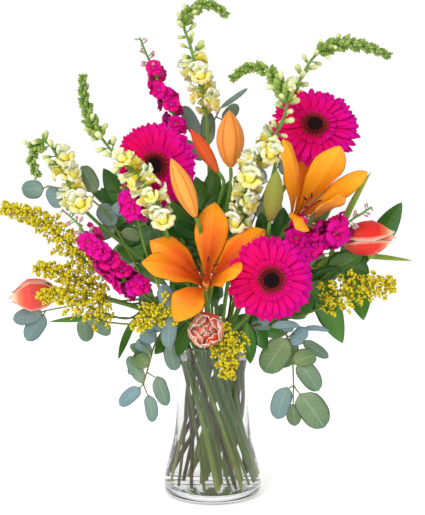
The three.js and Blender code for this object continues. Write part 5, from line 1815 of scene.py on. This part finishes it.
@dataclass
class Stock(BranchedPlant):
    """A stock: ruffled four-petal flowers crowd the stem and pale buds close its tip."""

    MAIN = (6, 0, 8, 4)
    SIDE = (4, 0, 5, 1)
    IN_BUD = 0.33
    flowers: float = 140.0
    size: float = 12.0
    seed: int = 3

    def build(self, colours: Palette, order: int) -> None:
        """Builds stem, flowers and buds.

        Args:
            colours: the finishes.
            order: place in the bouquet's list; a stock's own seed picks its chance numbers instead.
        """
        piece = Piece(f"{self.name}_spike")
        self.clad(piece, (colours.stem, colours.stem), (3.0, 1.2, 10), (2.0, 1.2, 9))
        self.dress(piece, self.limb, self.flowers, self.size, self.seed, colours)
        for i, (side, branch) in enumerate(zip(self.sides, self.branches)):
            self.dress(piece, side, branch.flowers, branch.size, self.seed + 20 + i, colours)
        piece.make("stock", self.name)

    def dress(self, piece: Piece, limb: Limb, length: float, size: float, seed: int,
              colours: Palette) -> None:
        """Sets flowers by the golden angle down one stem; the share IN_BUD at its tip is in bud.

        Args:
            piece: the piece that they go into.
            limb: the stem.
            length: length that carries flowers.
            size: radius of a flower.
            seed: picks the chance numbers.
            colours: the finishes.
        """
        random = Seeded(seed)
        buds, blooms = [], []
        distance, turn = 2.0, random() * 6
        while distance < length:
            turn += GOLDEN_ANGLE
            if distance < length * self.IN_BUD:
                buds += [(distance, turn), (distance + 3.5, turn + 2.1)]
                distance += 7
                continue
            spread = size * (0.84 + 0.34 * random())
            blooms += [(distance, turn, spread), (distance + size * 0.5, turn + 1.9, spread * 0.9)]
            if size > 11:
                blooms.append((distance + size * 0.25, turn + 4.1, spread * 0.85))
            distance += size * (1.3 - 0.5 * distance / length)
        walk = Walk(limb.points)
        far, turns = np.array(buds).T
        places, axes = walk.at(far)
        lean = unit(around(axes, turns) + axes * 0.35)
        bud = spindle([(0, 0), (0.1, 0.12), (0.5, 0.26), (0.8, 0.2), (1, 0)], 8, 0.0, 7)
        tall = (5.0 + far * 0.12) * random.row(len(far), 0.85, 1.15)
        stalk = 3.0 + far * 0.05
        piece.add(bud.placed(places + lean * stalk[:, None], lean, axes, tall, random.row(len(far))),
                  colours.stock_bud)
        reach = lean * (stalk + 1)[:, None]
        piece.add(stalks(places, reach, 0.7, 5, random.row(len(far))), colours.stem)
        far, turns, spread = np.array(blooms).T
        places, axes = walk.at(far)
        askew = random.row(len(far) * 3, -0.4, 0.4).reshape(-1, 3)
        lean = unit(around(axes, turns) + axes * 0.3 + askew)
        chance = random.row(len(far))
        height = 7 + size * 0.45
        origin = places + lean * (height * 0.5 + random.row(len(far), -0.5, 4.0))[:, None]
        outer = lobes((0.0, 1.571, 3.142, 4.712), 1.2, 5.2, 11.4, 7.4, 2.6, 1.3)
        inner = lobes((0.785, 2.356, 3.927), 0.8, 5.2, 5.6, 3.4, -0.5, 0.9)
        throat = spindle([(-9, 0), (-8.5, 1.2), (0.5, 1.7), (1.4, 1.0), (1.6, 0)], 8)
        ups = np.cross(lean, axes)
        scale = spread / 10
        piece.add(outer.placed(origin, lean, ups, scale, chance), colours.stock)
        piece.add(inner.placed(origin, lean, ups, scale, 1 - chance), colours.stock)
        piece.add(throat.placed(origin, lean, ups, scale, chance * 0.3), colours.stem)


@dataclass
class Goldenrod(BranchedPlant):
    """Goldenrod: arched side sprays, each set with small yellow heads."""

    SPRAY_SPACING = 3.1
    HEADS = 20
    SIDE_SHARE = 0.66
    MAIN = (4, 0, 6, 4)
    SIDE = (3, 0, 6, 3)
    flowers: float = 100.0
    reach: float = 20.0

    def build(self, colours: Palette, order: int) -> None:
        """Builds stems, sprays and heads.

        Args:
            colours: the finishes.
            order: place in the bouquet's list, which picks the chance numbers.
        """
        piece = Piece(f"{self.name}_plume")
        self.clad(piece, (colours.stem, colours.twig), (2.0, 1.0, 8), (1.5, 0.8, 8))
        for i, limb in enumerate([self.limb, *self.sides]):
            length = self.flowers * (self.SIDE_SHARE if i else 1.0)
            self.dress(piece, limb, length, Seeded(order * 5 + i + 31), colours)
        piece.make("goldenrod", self.name)

    def dress(self, piece: Piece, limb: Limb, length: float, random: Seeded, colours: Palette) -> None:
        """Sets side sprays by the golden angle and crowds heads along each.

        A spray's point at share t is start + out x size x t + along x size x t / 2, sagging a tenth.

        Args:
            piece: the piece that they go into.
            limb: the stem.
            length: length that carries sprays.
            random: chance numbers.
            colours: the finishes.
        """
        distances = np.arange(2.0, length, self.SPRAY_SPACING)
        count = len(distances)
        walk = Walk(limb.points)
        places, axes = walk.at(distances)
        out = around(axes, np.arange(count) * GOLDEN_ANGLE + 6 * random())
        full = np.minimum(distances / (length * 0.55), 1)
        size = self.reach * (0.35 + 0.65 * full) * random.row(count, 0.75, 1.15)
        end = places + out * size[:, None] + axes * (size * 0.5)[:, None]
        end[:, 2] -= size * 0.1
        t = np.linspace(0, 1, 5)[:, None]
        arch = vec((0, 0, 1)) * (0.35 * size[:, None] * (t * (1 - t))[:, 0])[..., None]
        line = places[:, None] + (end - places)[:, None] * t + arch
        piece.add(tubes(line, np.full((count, 5), 0.45), 5, random.row(count)), colours.twig)
        heads = self.HEADS
        share = np.linspace(0.15, 1.0, heads) ** 0.8
        spots = places[:, None] + (end - places)[:, None] * share[:, None]
        spots = spots + vec((0, 0, 1)) * (0.35 * size[:, None] * share * (1 - share))[..., None]
        spread = random.row(count * heads * 3, -1, 1).reshape(count, heads, 3)
        fat = 4.2 * np.sin(math.pi * np.clip(share * 0.85 + 0.1, 0, 1))
        spots = (spots + unit(spread) * fat[:, None]).reshape(-1, 3)
        axes_all = np.repeat(axes, heads, axis=0) * 0.6 + unit(spread).reshape(-1, 3) + vec((0, 0, 0.5))
        head = spindle([(0, 0), (0.25, 0.28), (0.75, 0.45), (0.95, 0.34), (1, 0)], 6, 0.0, 5)
        tall = random.row(count * heads, 3.2, 5.0)
        piece.add(head.placed(spots, axes_all, np.roll(axes_all, 1, axis=1), tall,
                              random.row(count * heads)), colours.goldenrod)


# ---- Leafy branches ------------------------------------------------------------------

class LeafKind(Enum):
    """The two kinds of leafy branch."""

    EUCALYPTUS = "eucalyptus"
    SALAL = "leaf"


@dataclass
class LeafySpray(BranchedPlant):
    """A leafy branch: eucalyptus with round grey leaves, or salal with pointed green ones."""

    SMALL_GREEN = 15
    SMALL_GREY = 9
    HEART_HEIGHT = 175
    HEART_LOW = (-200, -120, 200)
    HEART_HIGH = (200, 120, 420)
    leaf_kind: LeafKind = LeafKind.SALAL
    leaves: list[Sequence[Any]] = field(default_factory=list)
    straps: list[Sequence[Any]] = field(default_factory=list)

    @property
    def grey(self) -> bool:
        """Tells whether the branch is eucalyptus."""
        return self.leaf_kind is LeafKind.EUCALYPTUS

    def small_leaves(self, random: Seeded) -> list[Sequence[Any]]:
        """Lists further small leaves low on the branch, which close the heart of the bouquet.

        Args:
            random: chance numbers.

        Returns:
            Rows of foot, tip, width and twist.
        """
        line, _ = follow(self.limb.points[self.limb.inside - 1:], 6.0)
        near = line[line[:, 2] < LIP_HEIGHT + self.HEART_HEIGHT]
        rows = []
        for _ in range(self.SMALL_GREY if self.grey else self.SMALL_GREEN):
            foot = near[min(int(random() * len(near)), len(near) - 1)]
            outward = unit(vec((foot[0], foot[1], 0)) + vec((random() - 0.5, random() - 0.5, 0)) * 40)
            length = (34 + 26 * random()) * (0.7 if self.grey else 1.0)
            tip = foot + outward * length * 0.75 + vec((0, 0, 1)) * length * (1.1 * random() - 0.35)
            tip = np.clip(tip, self.HEART_LOW, self.HEART_HIGH)
            rows.append((foot, tip, length * (0.5 + 0.12 * random()), 60 * random() - 30))
        return rows

    def build(self, colours: Palette, order: int) -> None:
        """Builds the branch and its leaves.

        Args:
            colours: the finishes.
            order: place in the bouquet's list, which picks the chance numbers.
        """
        random = Seeded(order + 131)
        piece = Piece(f"{self.name}_branch")
        self.clad(piece, (colours.wood, colours.twig), (2.0, 1.0, 9), (1.5, 0.8, 8))
        rows = [*self.leaves, *self.small_leaves(random)]
        style = ("round", 0.05, colours.eucalyptus) if self.grey else ("pointed", 0.1, colours.salal)
        sorts = [(rows, *style, colours.twig)]
        if self.straps:
            sorts.append((self.straps, "strap", 0.12, colours.tulip_leaf, colours.tulip_leaf))
        for rows, outline, lift, leaf, twig in sorts:
            blade, stalk = leaf_rows(rows, outline, [self.limb, *self.sides], random, 0.7, lift)
            piece.add(blade, leaf)
            piece.add(stalk, twig)
        piece.make(self.leaf_kind.value, self.name)


GERBERAS: list[Gerbera] = [
    Gerbera(name="gerbera_left", neck=[-9, -6], path=[[-30, -14, 310], [-54, -20, 395]],
        centre=[-72, -60, 440], facing=[-0.25, -1, -0.1], radius=57),
    Gerbera(name="gerbera_right", neck=[23, 2], path=[[56, 6, 330], [98, 8, 415]],
        centre=[130, -40, 490], facing=[0.05, -0.84, 0.54], radius=61),
    Gerbera(name="gerbera_low", neck=[19, -31], path=[[46, -58, 250]], centre=[72, -118, 302],
        facing=[0.05, -1, -0.1], radius=57),
]

LILIES: list[Lily] = [
    Lily(name="lily_left", neck=[-2, -23], path=[[-6, -40, 258]], throat=[-8, -95, 309],
        facing=[0, -0.8, 0.6],
        tepals=[
            [[3, -66, 393], 17, 2], [[66, -84, 360], 16, 2], [[35, -142, 316], 15, 2],
            [[-46, -116, 250], 17, 2], [[-87, -108, 322], 15, 2], [[-78, -80, 346], 17, 2]],
        branches=[Branch(start=0, path=[[-14, -48, 325]]), Branch(start=0, path=[[12, -40, 345]]),
            Branch(start=0, path=[[-2, -30, 350]])],
        buds=[
            LilyBud(name="lily_bud_low", foot=[-21, -85, 376], tip=[-51, -100, 450], radius=13,
                pale=0.9),
            LilyBud(name="lily_bud_high", foot=[23, -50, 436], tip=[21, -50, 509], radius=18, pale=0.7),
            LilyBud(name="lily_bud_slim", foot=[7, -57, 431], tip=[-28, -64, 486], radius=9,
                pale=0.0)]),
    Lily(name="lily_right", neck=[20, -12], path=[[48, -22, 280], [82, -24, 335]],
        throat=[121, -60, 386], facing=[0.463, -0.72, 0.515],
        tepals=[
            [[86, -92, 472], 14, 2], [[158, -84, 464], 17, 2], [[193, -76, 432], 10, 2],
            [[156, -112, 404], 15, 2], [[102, -114, 364], 13, 2], [[128, -28, 466], 15, 2]],
        branches=[Branch(start=1, path=[])],
        buds=[LilyBud(name="", foot=[71, -95, 371], tip=[79, -100, 436], radius=12)]),
]

TULIPS: list[Tulip] = [
    Tulip(name="tulip_left", pale=0.6, neck=[-37, -2], path=[[-85, -5, 243], [-150, -10, 266]],
        foot=[-204, -15, 273], tip=[-266, -30, 267], radius=21),
    Tulip(name="tulip_right", neck=[37, -2], path=[[84, -22, 262], [128, -48, 318]],
        foot=[163, -60, 345], tip=[233, -65, 350], radius=22,
        leaves=[[[135, -36, 305], [210, -34, 322], 25, 20], [[150, -36, 326], [259, -34, 316], 8, 0]]),
    Tulip(name="tulip_front", neck=[-5, -36], path=[[-6, -44, 224]], foot=[-8, -74, 234],
        tip=[-8, -116, 238], radius=22, opening=1),
]

SNAPDRAGONS: list[Snapdragon] = [
    Snapdragon(name="snapdragon_top", neck=[5, 5],
        path=[
            [0, 0, 330], [-4, 0, 420], [-6, 0, 471], [-10, 0, 516], [-19, 0, 555], [-29, 0, 593],
            [-37, 3, 619], [-29, 5, 636], [-12, 8, 646], [5, 10, 643], [20, 10, 630]], flowers=190,
        buds=118),
    Snapdragon(name="snapdragon_left", neck=[-15, -18],
        path=[
            [-32, -50, 290], [-52, -74, 340], [-62, -84, 372], [-71, -94, 403], [-89, -97, 425],
            [-114, -90, 447], [-136, -78, 472], [-153, -70, 496], [-160, -65, 521], [-162, -60, 551]],
        flowers=212, buds=125),
    Snapdragon(name="snapdragon_far_left", neck=[-23, -4],
        path=[
            [-75, -15, 300], [-130, -35, 350], [-169, -45, 389], [-184, -42, 418], [-196, -40, 446],
            [-206, -38, 464], [-218, -35, 470], [-229, -35, 460], [-231, -35, 442], [-223, -35, 424]],
        flowers=150, buds=85),
    Snapdragon(name="snapdragon_arch", neck=[11, -20],
        path=[
            [22, -45, 300], [36, -60, 345], [37, -70, 384], [42, -80, 412], [53, -85, 441],
            [71, -84, 468], [86, -82, 494], [92, -80, 517], [85, -75, 538], [71, -72, 555],
            [54, -70, 563], [37, -65, 558], [23, -60, 546]], flowers=262, buds=150),
    Snapdragon(name="snapdragon_right", neck=[18, 15],
        path=[
            [40, 10, 300], [66, 6, 370], [82, 2, 438], [93, 0, 484], [102, 0, 523], [115, 0, 551],
            [129, 0, 575], [147, 0, 590], [175, 0, 596], [204, 0, 590], [231, 0, 578]], flowers=188,
        buds=150),
]

STOCKS: list[Stock] = [
    Stock(name="stock_top", neck=[-6, 9],
        path=[
            [-20, 6, 330], [-36, 0, 420], [-45, -10, 484], [-55, -12, 516], [-68, -15, 541],
            [-80, -18, 570], [-93, -20, 601]], flowers=132, size=10, seed=3),
    Stock(name="stock_left", neck=[-27, -25],
        path=[
            [-56, -52, 250], [-80, -70, 272], [-104, -80, 292], [-128, -80, 314], [-150, -75, 340],
            [-169, -68, 366], [-190, -60, 384]],
        branches=[
            Branch(start=0, path=[[-84, -62, 330], [-98, -70, 385], [-112, -74, 424]], flowers=56,
                size=12)], flowers=150, size=13, seed=5),
    Stock(name="stock_right", neck=[28, -14],
        path=[
            [64, -34, 275], [98, -62, 318], [122, -78, 341], [147, -80, 355], [172, -78, 371],
            [200, -70, 388]],
        branches=[Branch(start=1, path=[[108, -76, 350], [126, -84, 380]], flowers=34, size=13)],
        flowers=128, size=13, seed=8),
]

GOLDENRODS: list[Goldenrod] = [
    Goldenrod(name="goldenrod_left", neck=[-34, -14],
        path=[
            [-80, -28, 262], [-120, -35, 285], [-151, -40, 305], [-183, -40, 337], [-211, -40, 362],
            [-240, -40, 378], [-267, -40, 384]],
        branches=[
            Branch(start=0,
                path=[[-110, -46, 262], [-144, -50, 276], [-172, -53, 296], [-222, -55, 309]]),
            Branch(start=0,
                path=[
                    [-106, -52, 244], [-137, -65, 252], [-165, -74, 266], [-190, -78, 278],
                    [-215, -75, 275]])], flowers=150, reach=20),
    Goldenrod(name="goldenrod_front_left", neck=[-17, -32],
        path=[[-30, -56, 238], [-47, -78, 252], [-63, -90, 262], [-80, -95, 254], [-92, -95, 238]],
        flowers=66, reach=18),
    Goldenrod(name="goldenrod_front_right", neck=[7, -36],
        path=[[18, -58, 230], [25, -80, 230], [23, -92, 217], [19, -98, 200], [17, -96, 180]],
        flowers=62, reach=22),
    Goldenrod(name="goldenrod_right", neck=[34, -14],
        path=[
            [80, -38, 236], [131, -58, 255], [155, -67, 272], [180, -72, 285], [205, -73, 291],
            [228, -70, 287]], flowers=104, reach=24),
    Goldenrod(name="goldenrod_back", neck=[0, 36],
        path=[[-8, 66, 290], [-24, 96, 360], [-44, 116, 410], [-66, 126, 450], [-90, 128, 476]],
        flowers=120, reach=22),
]

SPRAYS: list[LeafySpray] = [
    LeafySpray(name="eucalyptus_left", leaf_kind=LeafKind.EUCALYPTUS, neck=[-35, 11],
        path=[[-78, 6, 262], [-112, -12, 330], [-140, -26, 380], [-170, -25, 402], [-212, -22, 412]],
        branches=[Branch(start=0, path=[[-128, 14, 256], [-180, 10, 252], [-220, -8, 247]])],
        leaves=[
            [[-218, -22, 408], [-246, -26, 408], 24, 10], [[-210, -25, 412], [-197, -28, 384], 19, -15],
            [[-150, -30, 404], [-167, -34, 438], 24, 15], [[-146, -24, 388], [-126, -24, 362], 25, -10],
            [[-129, -38, 385], [-104, -46, 382], 20, 0], [[-118, -30, 352], [-93, -40, 346], 19, 20],
            [[-224, -12, 246], [-261, -18, 236], 22, 8], [[-222, -8, 242], [-244, -14, 208], 25, -12]]),
    LeafySpray(name="eucalyptus_low_left", leaf_kind=LeafKind.EUCALYPTUS, neck=[-31, -20],
        path=[[-56, -58, 236], [-72, -70, 216], [-80, -70, 190], [-88, -70, 162]],
        branches=[Branch(start=0, path=[[-98, -66, 238], [-132, -60, 240], [-160, -54, 246]])],
        leaves=[
            [[-78, -70, 204], [-107, -74, 176], 17, 10], [[-92, -70, 157], [-118, -72, 134], 19, -10],
            [[-82, -70, 148], [-77, -72, 113], 18, 15], [[-70, -70, 172], [-58, -70, 134], 20, -20],
            [[-56, -64, 212], [-47, -72, 180], 21, 0], [[-62, -84, 292], [-56, -92, 262], 22, 10],
            [[-162, -52, 246], [-131, -56, 224], 22, 12], [[-166, -50, 244], [-160, -54, 214], 21, -12],
            [[-52, -92, 252], [-56, -90, 212], 21, -8]]),
    LeafySpray(name="eucalyptus_top", leaf_kind=LeafKind.EUCALYPTUS, neck=[4, 23],
        path=[[6, 30, 330], [0, 30, 420], [-8, 26, 470], [10, 22, 512]],
        leaves=[
            [[-16, 24, 474], [-38, 16, 515], 19, 10], [[-8, 24, 462], [-6, 18, 508], 20, -10],
            [[14, 22, 494], [33, 18, 517], 17, 0], [[10, 22, 512], [46, 18, 538], 7, 0],
            [[-8, 28, 446], [-40, 44, 470], 20, 20]]),
    LeafySpray(name="eucalyptus_right", leaf_kind=LeafKind.EUCALYPTUS, neck=[25, -24],
        path=[[58, -58, 236], [88, -64, 232], [100, -62, 208], [103, -60, 182], [104, -60, 158]],
        leaves=[
            [[94, -66, 220], [66, -72, 178], 36, 8], [[101, -54, 216], [92, -46, 178], 30, -10],
            [[110, -60, 188], [136, -64, 152], 27, 12], [[96, -62, 156], [83, -64, 115], 27, -12],
            [[104, -52, 132], [107, -48, 102], 20, 0], [[112, -64, 148], [143, -68, 105], 38, 8],
            [[116, -54, 214], [149, -54, 193], 15, 0], [[74, -84, 238], [109, -96, 241], 14, 30],
            [[112, -62, 230], [148, -68, 230], 11, 40]]),
    LeafySpray(name="eucalyptus_back", leaf_kind=LeafKind.EUCALYPTUS, neck=[16, 33],
        path=[[32, 66, 290], [54, 104, 350], [80, 124, 410], [104, 128, 452]],
        branches=[Branch(start=1, path=[[20, 122, 372], [-4, 132, 392]])],
        leaves=[
            [[104, 130, 452], [118, 132, 486], 26, 160], [[92, 128, 436], [124, 136, 430], 28, 200],
            [[76, 124, 410], [50, 136, 430], 27, 170], [[66, 118, 380], [98, 130, 366], 29, 190],
            [[50, 104, 346], [28, 116, 324], 27, 175], [[-4, 132, 392], [-32, 138, 404], 27, 185],
            [[10, 126, 380], [4, 138, 350], 25, 195]]),
    LeafySpray(name="leaves_left", neck=[-25, 22],
        path=[[-60, 22, 262], [-86, 10, 330], [-108, 0, 376]],
        branches=[Branch(start=0, path=[[-92, -4, 240], [-126, -20, 240]])],
        leaves=[
            [[-108, 0, 376], [-142, -8, 434], 28, 10], [[-104, 2, 370], [-160, 4, 404], 24, -15],
            [[-88, 6, 330], [-78, -34, 360], 28, 10], [[-128, -22, 240], [-212, -32, 236], 9, 0],
            [[-100, -12, 240], [-122, -40, 188], 11, -15], [[-84, 14, 322], [-132, 38, 322], 26, 170],
            [[-70, 20, 290], [-112, 58, 300], 28, 165]]),
    LeafySpray(name="leaves_middle", neck=[-13, 20],
        path=[[-18, 2, 290], [-14, -14, 340], [-4, -20, 374]],
        leaves=[
            [[-4, -20, 374], [-22, -28, 424], 25, 10], [[2, -20, 366], [30, -26, 408], 22, -10],
            [[-14, -16, 344], [-48, -60, 366], 24, 10], [[-16, -12, 318], [-42, -66, 330], 22, 0],
            [[-10, -18, 352], [6, -34, 402], 26, 5], [[-6, -20, 340], [34, -40, 372], 24, -10],
            [[-16, -14, 300], [22, -44, 330], 28, 8], [[-18, -10, 286], [-58, -48, 300], 28, -12],
            [[-16, -12, 330], [-52, -34, 392], 24, 14], [[-18, -6, 270], [10, -52, 276], 26, 0],
            [[-18, 0, 262], [-50, -60, 262], 26, 10], [[-12, -16, 310], [44, -34, 316], 25, -8],
            [[-34, -44, 244], [-74, -68, 200], 24, 10], [[-26, -46, 240], [-44, -76, 198], 20, -12],
            [[4, -16, 352], [54, -30, 384], 28, -6], [[0, -14, 372], [38, -22, 428], 26, -10],
            [[-4, -18, 376], [4, -26, 438], 25, 6], [[14, -14, 326], [66, -26, 350], 28, 4],
            [[-8, -8, 360], [-58, -20, 410], 27, 10], [[0, -10, 300], [76, -18, 316], 28, -8]]),
    LeafySpray(name="leaves_right", neck=[36, 10], path=[[88, 4, 262], [142, -6, 300], [200, -12, 320]],
        leaves=[
            [[202, -12, 318], [244, -26, 391], 30, -12], [[134, -6, 300], [106, -22, 366], 24, 0],
            [[120, 0, 290], [150, 44, 318], 30, 165], [[78, -6, 318], [62, -18, 378], 27, 4],
            [[86, -8, 322], [92, -22, 384], 28, -8], [[92, -4, 300], [70, -24, 340], 26, 10],
            [[100, -6, 296], [124, -26, 340], 27, -6], [[170, -6, 314], [200, 36, 340], 28, 160]],
        straps=[[[154, -10, 318], [202, -42, 431], 10, 10]]),
    LeafySpray(name="leaves_low_right", neck=[37, -13],
        path=[[90, -24, 244], [134, -42, 288], [176, -42, 322]],
        leaves=[
            [[176, -42, 322], [194, -50, 241], 36, 12], [[138, -44, 292], [167, -54, 212], 36, -10],
            [[112, -38, 268], [146, -60, 292], 22, 10], [[44, -52, 240], [48, -78, 190], 20, 6],
            [[52, -46, 244], [68, -68, 206], 22, -10]]),
    LeafySpray(name="leaves_back_left", neck=[-16, 33],
        path=[[-42, 64, 262], [-76, 96, 320], [-104, 112, 372]],
        branches=[Branch(start=0, path=[[-30, 92, 290], [-20, 118, 318]])],
        leaves=[
            [[-104, 112, 372], [-132, 124, 438], 36, 170], [[-98, 110, 362], [-160, 120, 372], 34, 190],
            [[-84, 104, 332], [-148, 112, 300], 36, 175], [[-74, 96, 318], [-60, 118, 388], 34, 185],
            [[-20, 118, 318], [6, 134, 372], 33, 175], [[-28, 112, 308], [-58, 132, 264], 32, 190],
            [[-46, 68, 262], [-104, 84, 226], 30, 165]]),
    LeafySpray(name="leaves_back_right", neck=[29, 24],
        path=[[70, 44, 256], [112, 70, 302], [136, 80, 350]],
        branches=[Branch(start=0, path=[[70, 78, 270], [66, 104, 292]])],
        leaves=[
            [[136, 80, 350], [160, 88, 414], 34, 170], [[130, 78, 336], [190, 84, 348], 33, 190],
            [[112, 72, 302], [168, 82, 272], 34, 175], [[66, 104, 292], [44, 130, 248], 32, 190],
            [[68, 106, 294], [110, 128, 268], 32, 175], [[104, 66, 292], [92, 92, 340], 30, 180],
            [[78, 50, 258], [128, 62, 226], 28, 170]]),
]


# ---- Vase and water --------------------------------------------------------------------

@dataclass
class Vase:
    """A blown glass vase with a waist, a thick base and water nearly to its lip."""

    sides: int = 128
    corner: float = 8.0
    overlap: float = 0.05

    def turned(self, outline: Array) -> Shape:
        """Turns an outline of (radius, height) rows about the Z axis; it starts and ends on the axis.

        Args:
            outline: the section, from the middle of the underside round to the axis again.

        Returns:
            The closed body.
        """
        rows = outline[1:-1]
        angle = np.arange(self.sides) / self.sides * 2 * math.pi
        ring = np.stack([np.cos(angle), np.sin(angle), np.ones(self.sides)], axis=-1)
        body = (rows[:, None, [0, 0, 1]] * ring).reshape(-1, 3)
        points = np.concatenate([body, [[0, 0, outline[0, 1]], [0, 0, outline[-1, 1]]]])
        blank = np.zeros((len(points), 2))
        return bodies(points[None], strips(len(rows), self.sides), caps(len(rows), self.sides),
                      blank, np.zeros(1), blank[:, 0])

    def wall(self, shift: float, low: float, high: float, count: int) -> Array:
        """Gives the wall's smooth section: the outer radius less shift, by cubic pieces in height.

        Args:
            shift: distance in from the outer skin.
            low: lowest height.
            high: greatest height.
            count: rows.

        Returns:
            Rows of (radius, height).
        """
        knots = np.stack([VASE_OUTER[:, 0], np.zeros(len(VASE_OUTER)), VASE_OUTER[:, 1]], axis=-1)
        line, _ = follow(knots, 1.5)
        height = np.linspace(low, high, count)
        return np.stack([np.interp(height, line[:, 2], line[:, 0]) - shift, height], axis=-1)

    def build(self, colours: Palette) -> None:
        """Builds the glass and the water in it.

        Args:
            colours: the finishes.
        """
        radius, top = VASE_OUTER[-1]
        bead = WALL / 2
        turn = np.linspace(0, math.pi, 9)
        lip = np.stack([radius - bead + bead * np.cos(turn), top - bead + bead * np.sin(turn)], axis=-1)
        # A quarter round joins the floor to the wall
        bowl = np.linspace(0, math.pi / 2, 9)
        floor = BASE_THICKNESS + self.corner
        floor_radius = self.wall(WALL, floor, floor, 1)[0, 0]
        corner = np.stack([floor_radius - self.corner + self.corner * np.cos(bowl),
                           floor - self.corner * np.sin(bowl)], axis=-1)
        foot = np.array([(0.0, 1.2), (40.0, 1.2), (46.0, 0.6), (50.0, 0.0), (56.5, 0.0), (59.8, 0.9)])
        glass = np.concatenate([
            foot, self.wall(0, 3, top - bead, 76), lip[1:-1],
            self.wall(WALL, floor + 0.5, top - bead, 70)[::-1], corner, [(0.0, BASE_THICKNESS)],
        ])
        vase = Piece("glass_vase")
        vase.add(self.turned(glass), colours.glass)
        vase.make("glass", "vase")
        # The water reaches a little into the glass, so no film of air lies between them, and its
        # skin curves 1.2 mm up the wall
        inside = self.wall(WALL - self.overlap, floor + 0.5, WATER_LEVEL, 64)
        rim = inside[-1] + np.array([0.0, 1.2])
        skin = np.array([rim, (rim[0] - 1.2, WATER_LEVEL + 0.3), (rim[0] - 3.0, WATER_LEVEL),
                         (0.0, WATER_LEVEL)])
        body = np.concatenate([[(0.0, BASE_THICKNESS - self.overlap)],
                               corner[::-1] + np.array([0.03, -0.04]), inside, skin])
        water = Piece("vase_water")
        water.add(self.turned(body), colours.water)
        water.make("water", "water")


# ---- Studio ------------------------------------------------------------------------------

@dataclass
class Studio:
    """A white light table and walls, broad soft lights and the camera of the photograph."""

    distance: float = 1.6
    height: float = 0.489
    pitch: float = 6.15
    lens: float = 85.35
    walls: float = 1.02
    ceiling: float = 0.55
    table: float = 0.42
    table_reach: float = 6.0
    aim_height: float = 0.32
    lights: tuple[tuple[str, Triple, float, float], ...] = (
        ("key", (-0.9, -1.3, 1.6), 0.8, 18.0),
        ("fill", (1.3, -0.9, 1.0), 1.2, 2.0),
        ("rim", (0.3, 1.2, 1.7), 1.0, 4.0),
    )

    def build(self) -> None:
        """Builds camera, lights, world and floor."""
        scene = bpy.context.scene
        camera = bpy.data.cameras.new("camera")
        camera.lens = self.lens
        camera.sensor_width = 36
        camera.dof.use_dof = False
        eye = bpy.data.objects.new("camera", camera)
        eye.location = (0, -self.distance, self.height)
        eye.rotation_euler = (math.radians(90 - self.pitch), 0, 0)
        scene.collection.objects.link(eye)
        scene.camera = eye
        for light in self.lights:
            self.light(*light)
        world = bpy.data.worlds.new("white_room")
        world.use_nodes = True
        sky = world.node_tree
        # White walls at eye level and a dimmer ceiling, so that the inside of the bouquet stays dark
        aim = add_node(sky, "ShaderNodeTexCoord").outputs["Generated"]
        rise = add_node(sky, "ShaderNodeSeparateXYZ", None, Vector=aim).outputs[2]
        strength = eased(sky, rise, 0.14, 0.5, self.walls, self.ceiling)
        plug(sky, sky.nodes["Background"], Strength=strength, Color=(1, 1, 1, 1))
        scene.world = world
        scene.view_settings.view_transform = "Standard"
        scene.view_settings.look = "None"
        mesh = bpy.data.meshes.new("floor")
        corners = vec((1, 1, 0)) * self.table_reach * [(-1, -1, 0), (1, -1, 0), (1, 1, 0), (-1, 1, 0)]
        mesh.from_pydata(corners.tolist(), [], [(0, 1, 2, 3)])
        floor = bpy.data.objects.new("floor", mesh)
        paper, tree, skin = new_material("white_paper_sweep")
        plug(tree, skin, Base_Color=shade("#fbfbfc"), Roughness=0.9, Emission_Color=(1, 1, 1, 1),
             Emission_Strength=self.table)
        mesh.materials.append(paper)
        scene.collection.objects.link(floor)

    def light(self, name: str, place: Triple, size: float, power: float) -> None:
        """Adds a square soft light that looks at the middle of the bouquet.

        Args:
            name: its name.
            place: its place in metres.
            size: its side in metres.
            power: its power in watts.
        """
        lamp = bpy.data.lights.new(name, "AREA")
        lamp.size = size
        lamp.energy = power
        thing = bpy.data.objects.new(name, lamp)
        thing.location = place
        aim = Vector((0, 0, self.aim_height)) - Vector(place)
        thing.rotation_euler = aim.to_track_quat("-Z", "Y").to_euler()
        bpy.context.scene.collection.objects.link(thing)


def main() -> None:
    """Routes every stem, then builds plant by plant, the vase and the studio."""
    logging.basicConfig(level=logging.INFO, format="%(name)s %(message)s")
    Studio().build()
    colours = Palette()
    families = (GERBERAS, LILIES, TULIPS, SNAPDRAGONS, STOCKS, GOLDENRODS, SPRAYS)
    limbs = [limb for family in families for plant in family for limb in plant.limbs()]
    ease_apart(limbs)
    for family in families:
        for order, plant in enumerate(family):
            plant.build(colours, order)
    Vase().build(colours)
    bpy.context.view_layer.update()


if __name__ == "__main__":
    main()
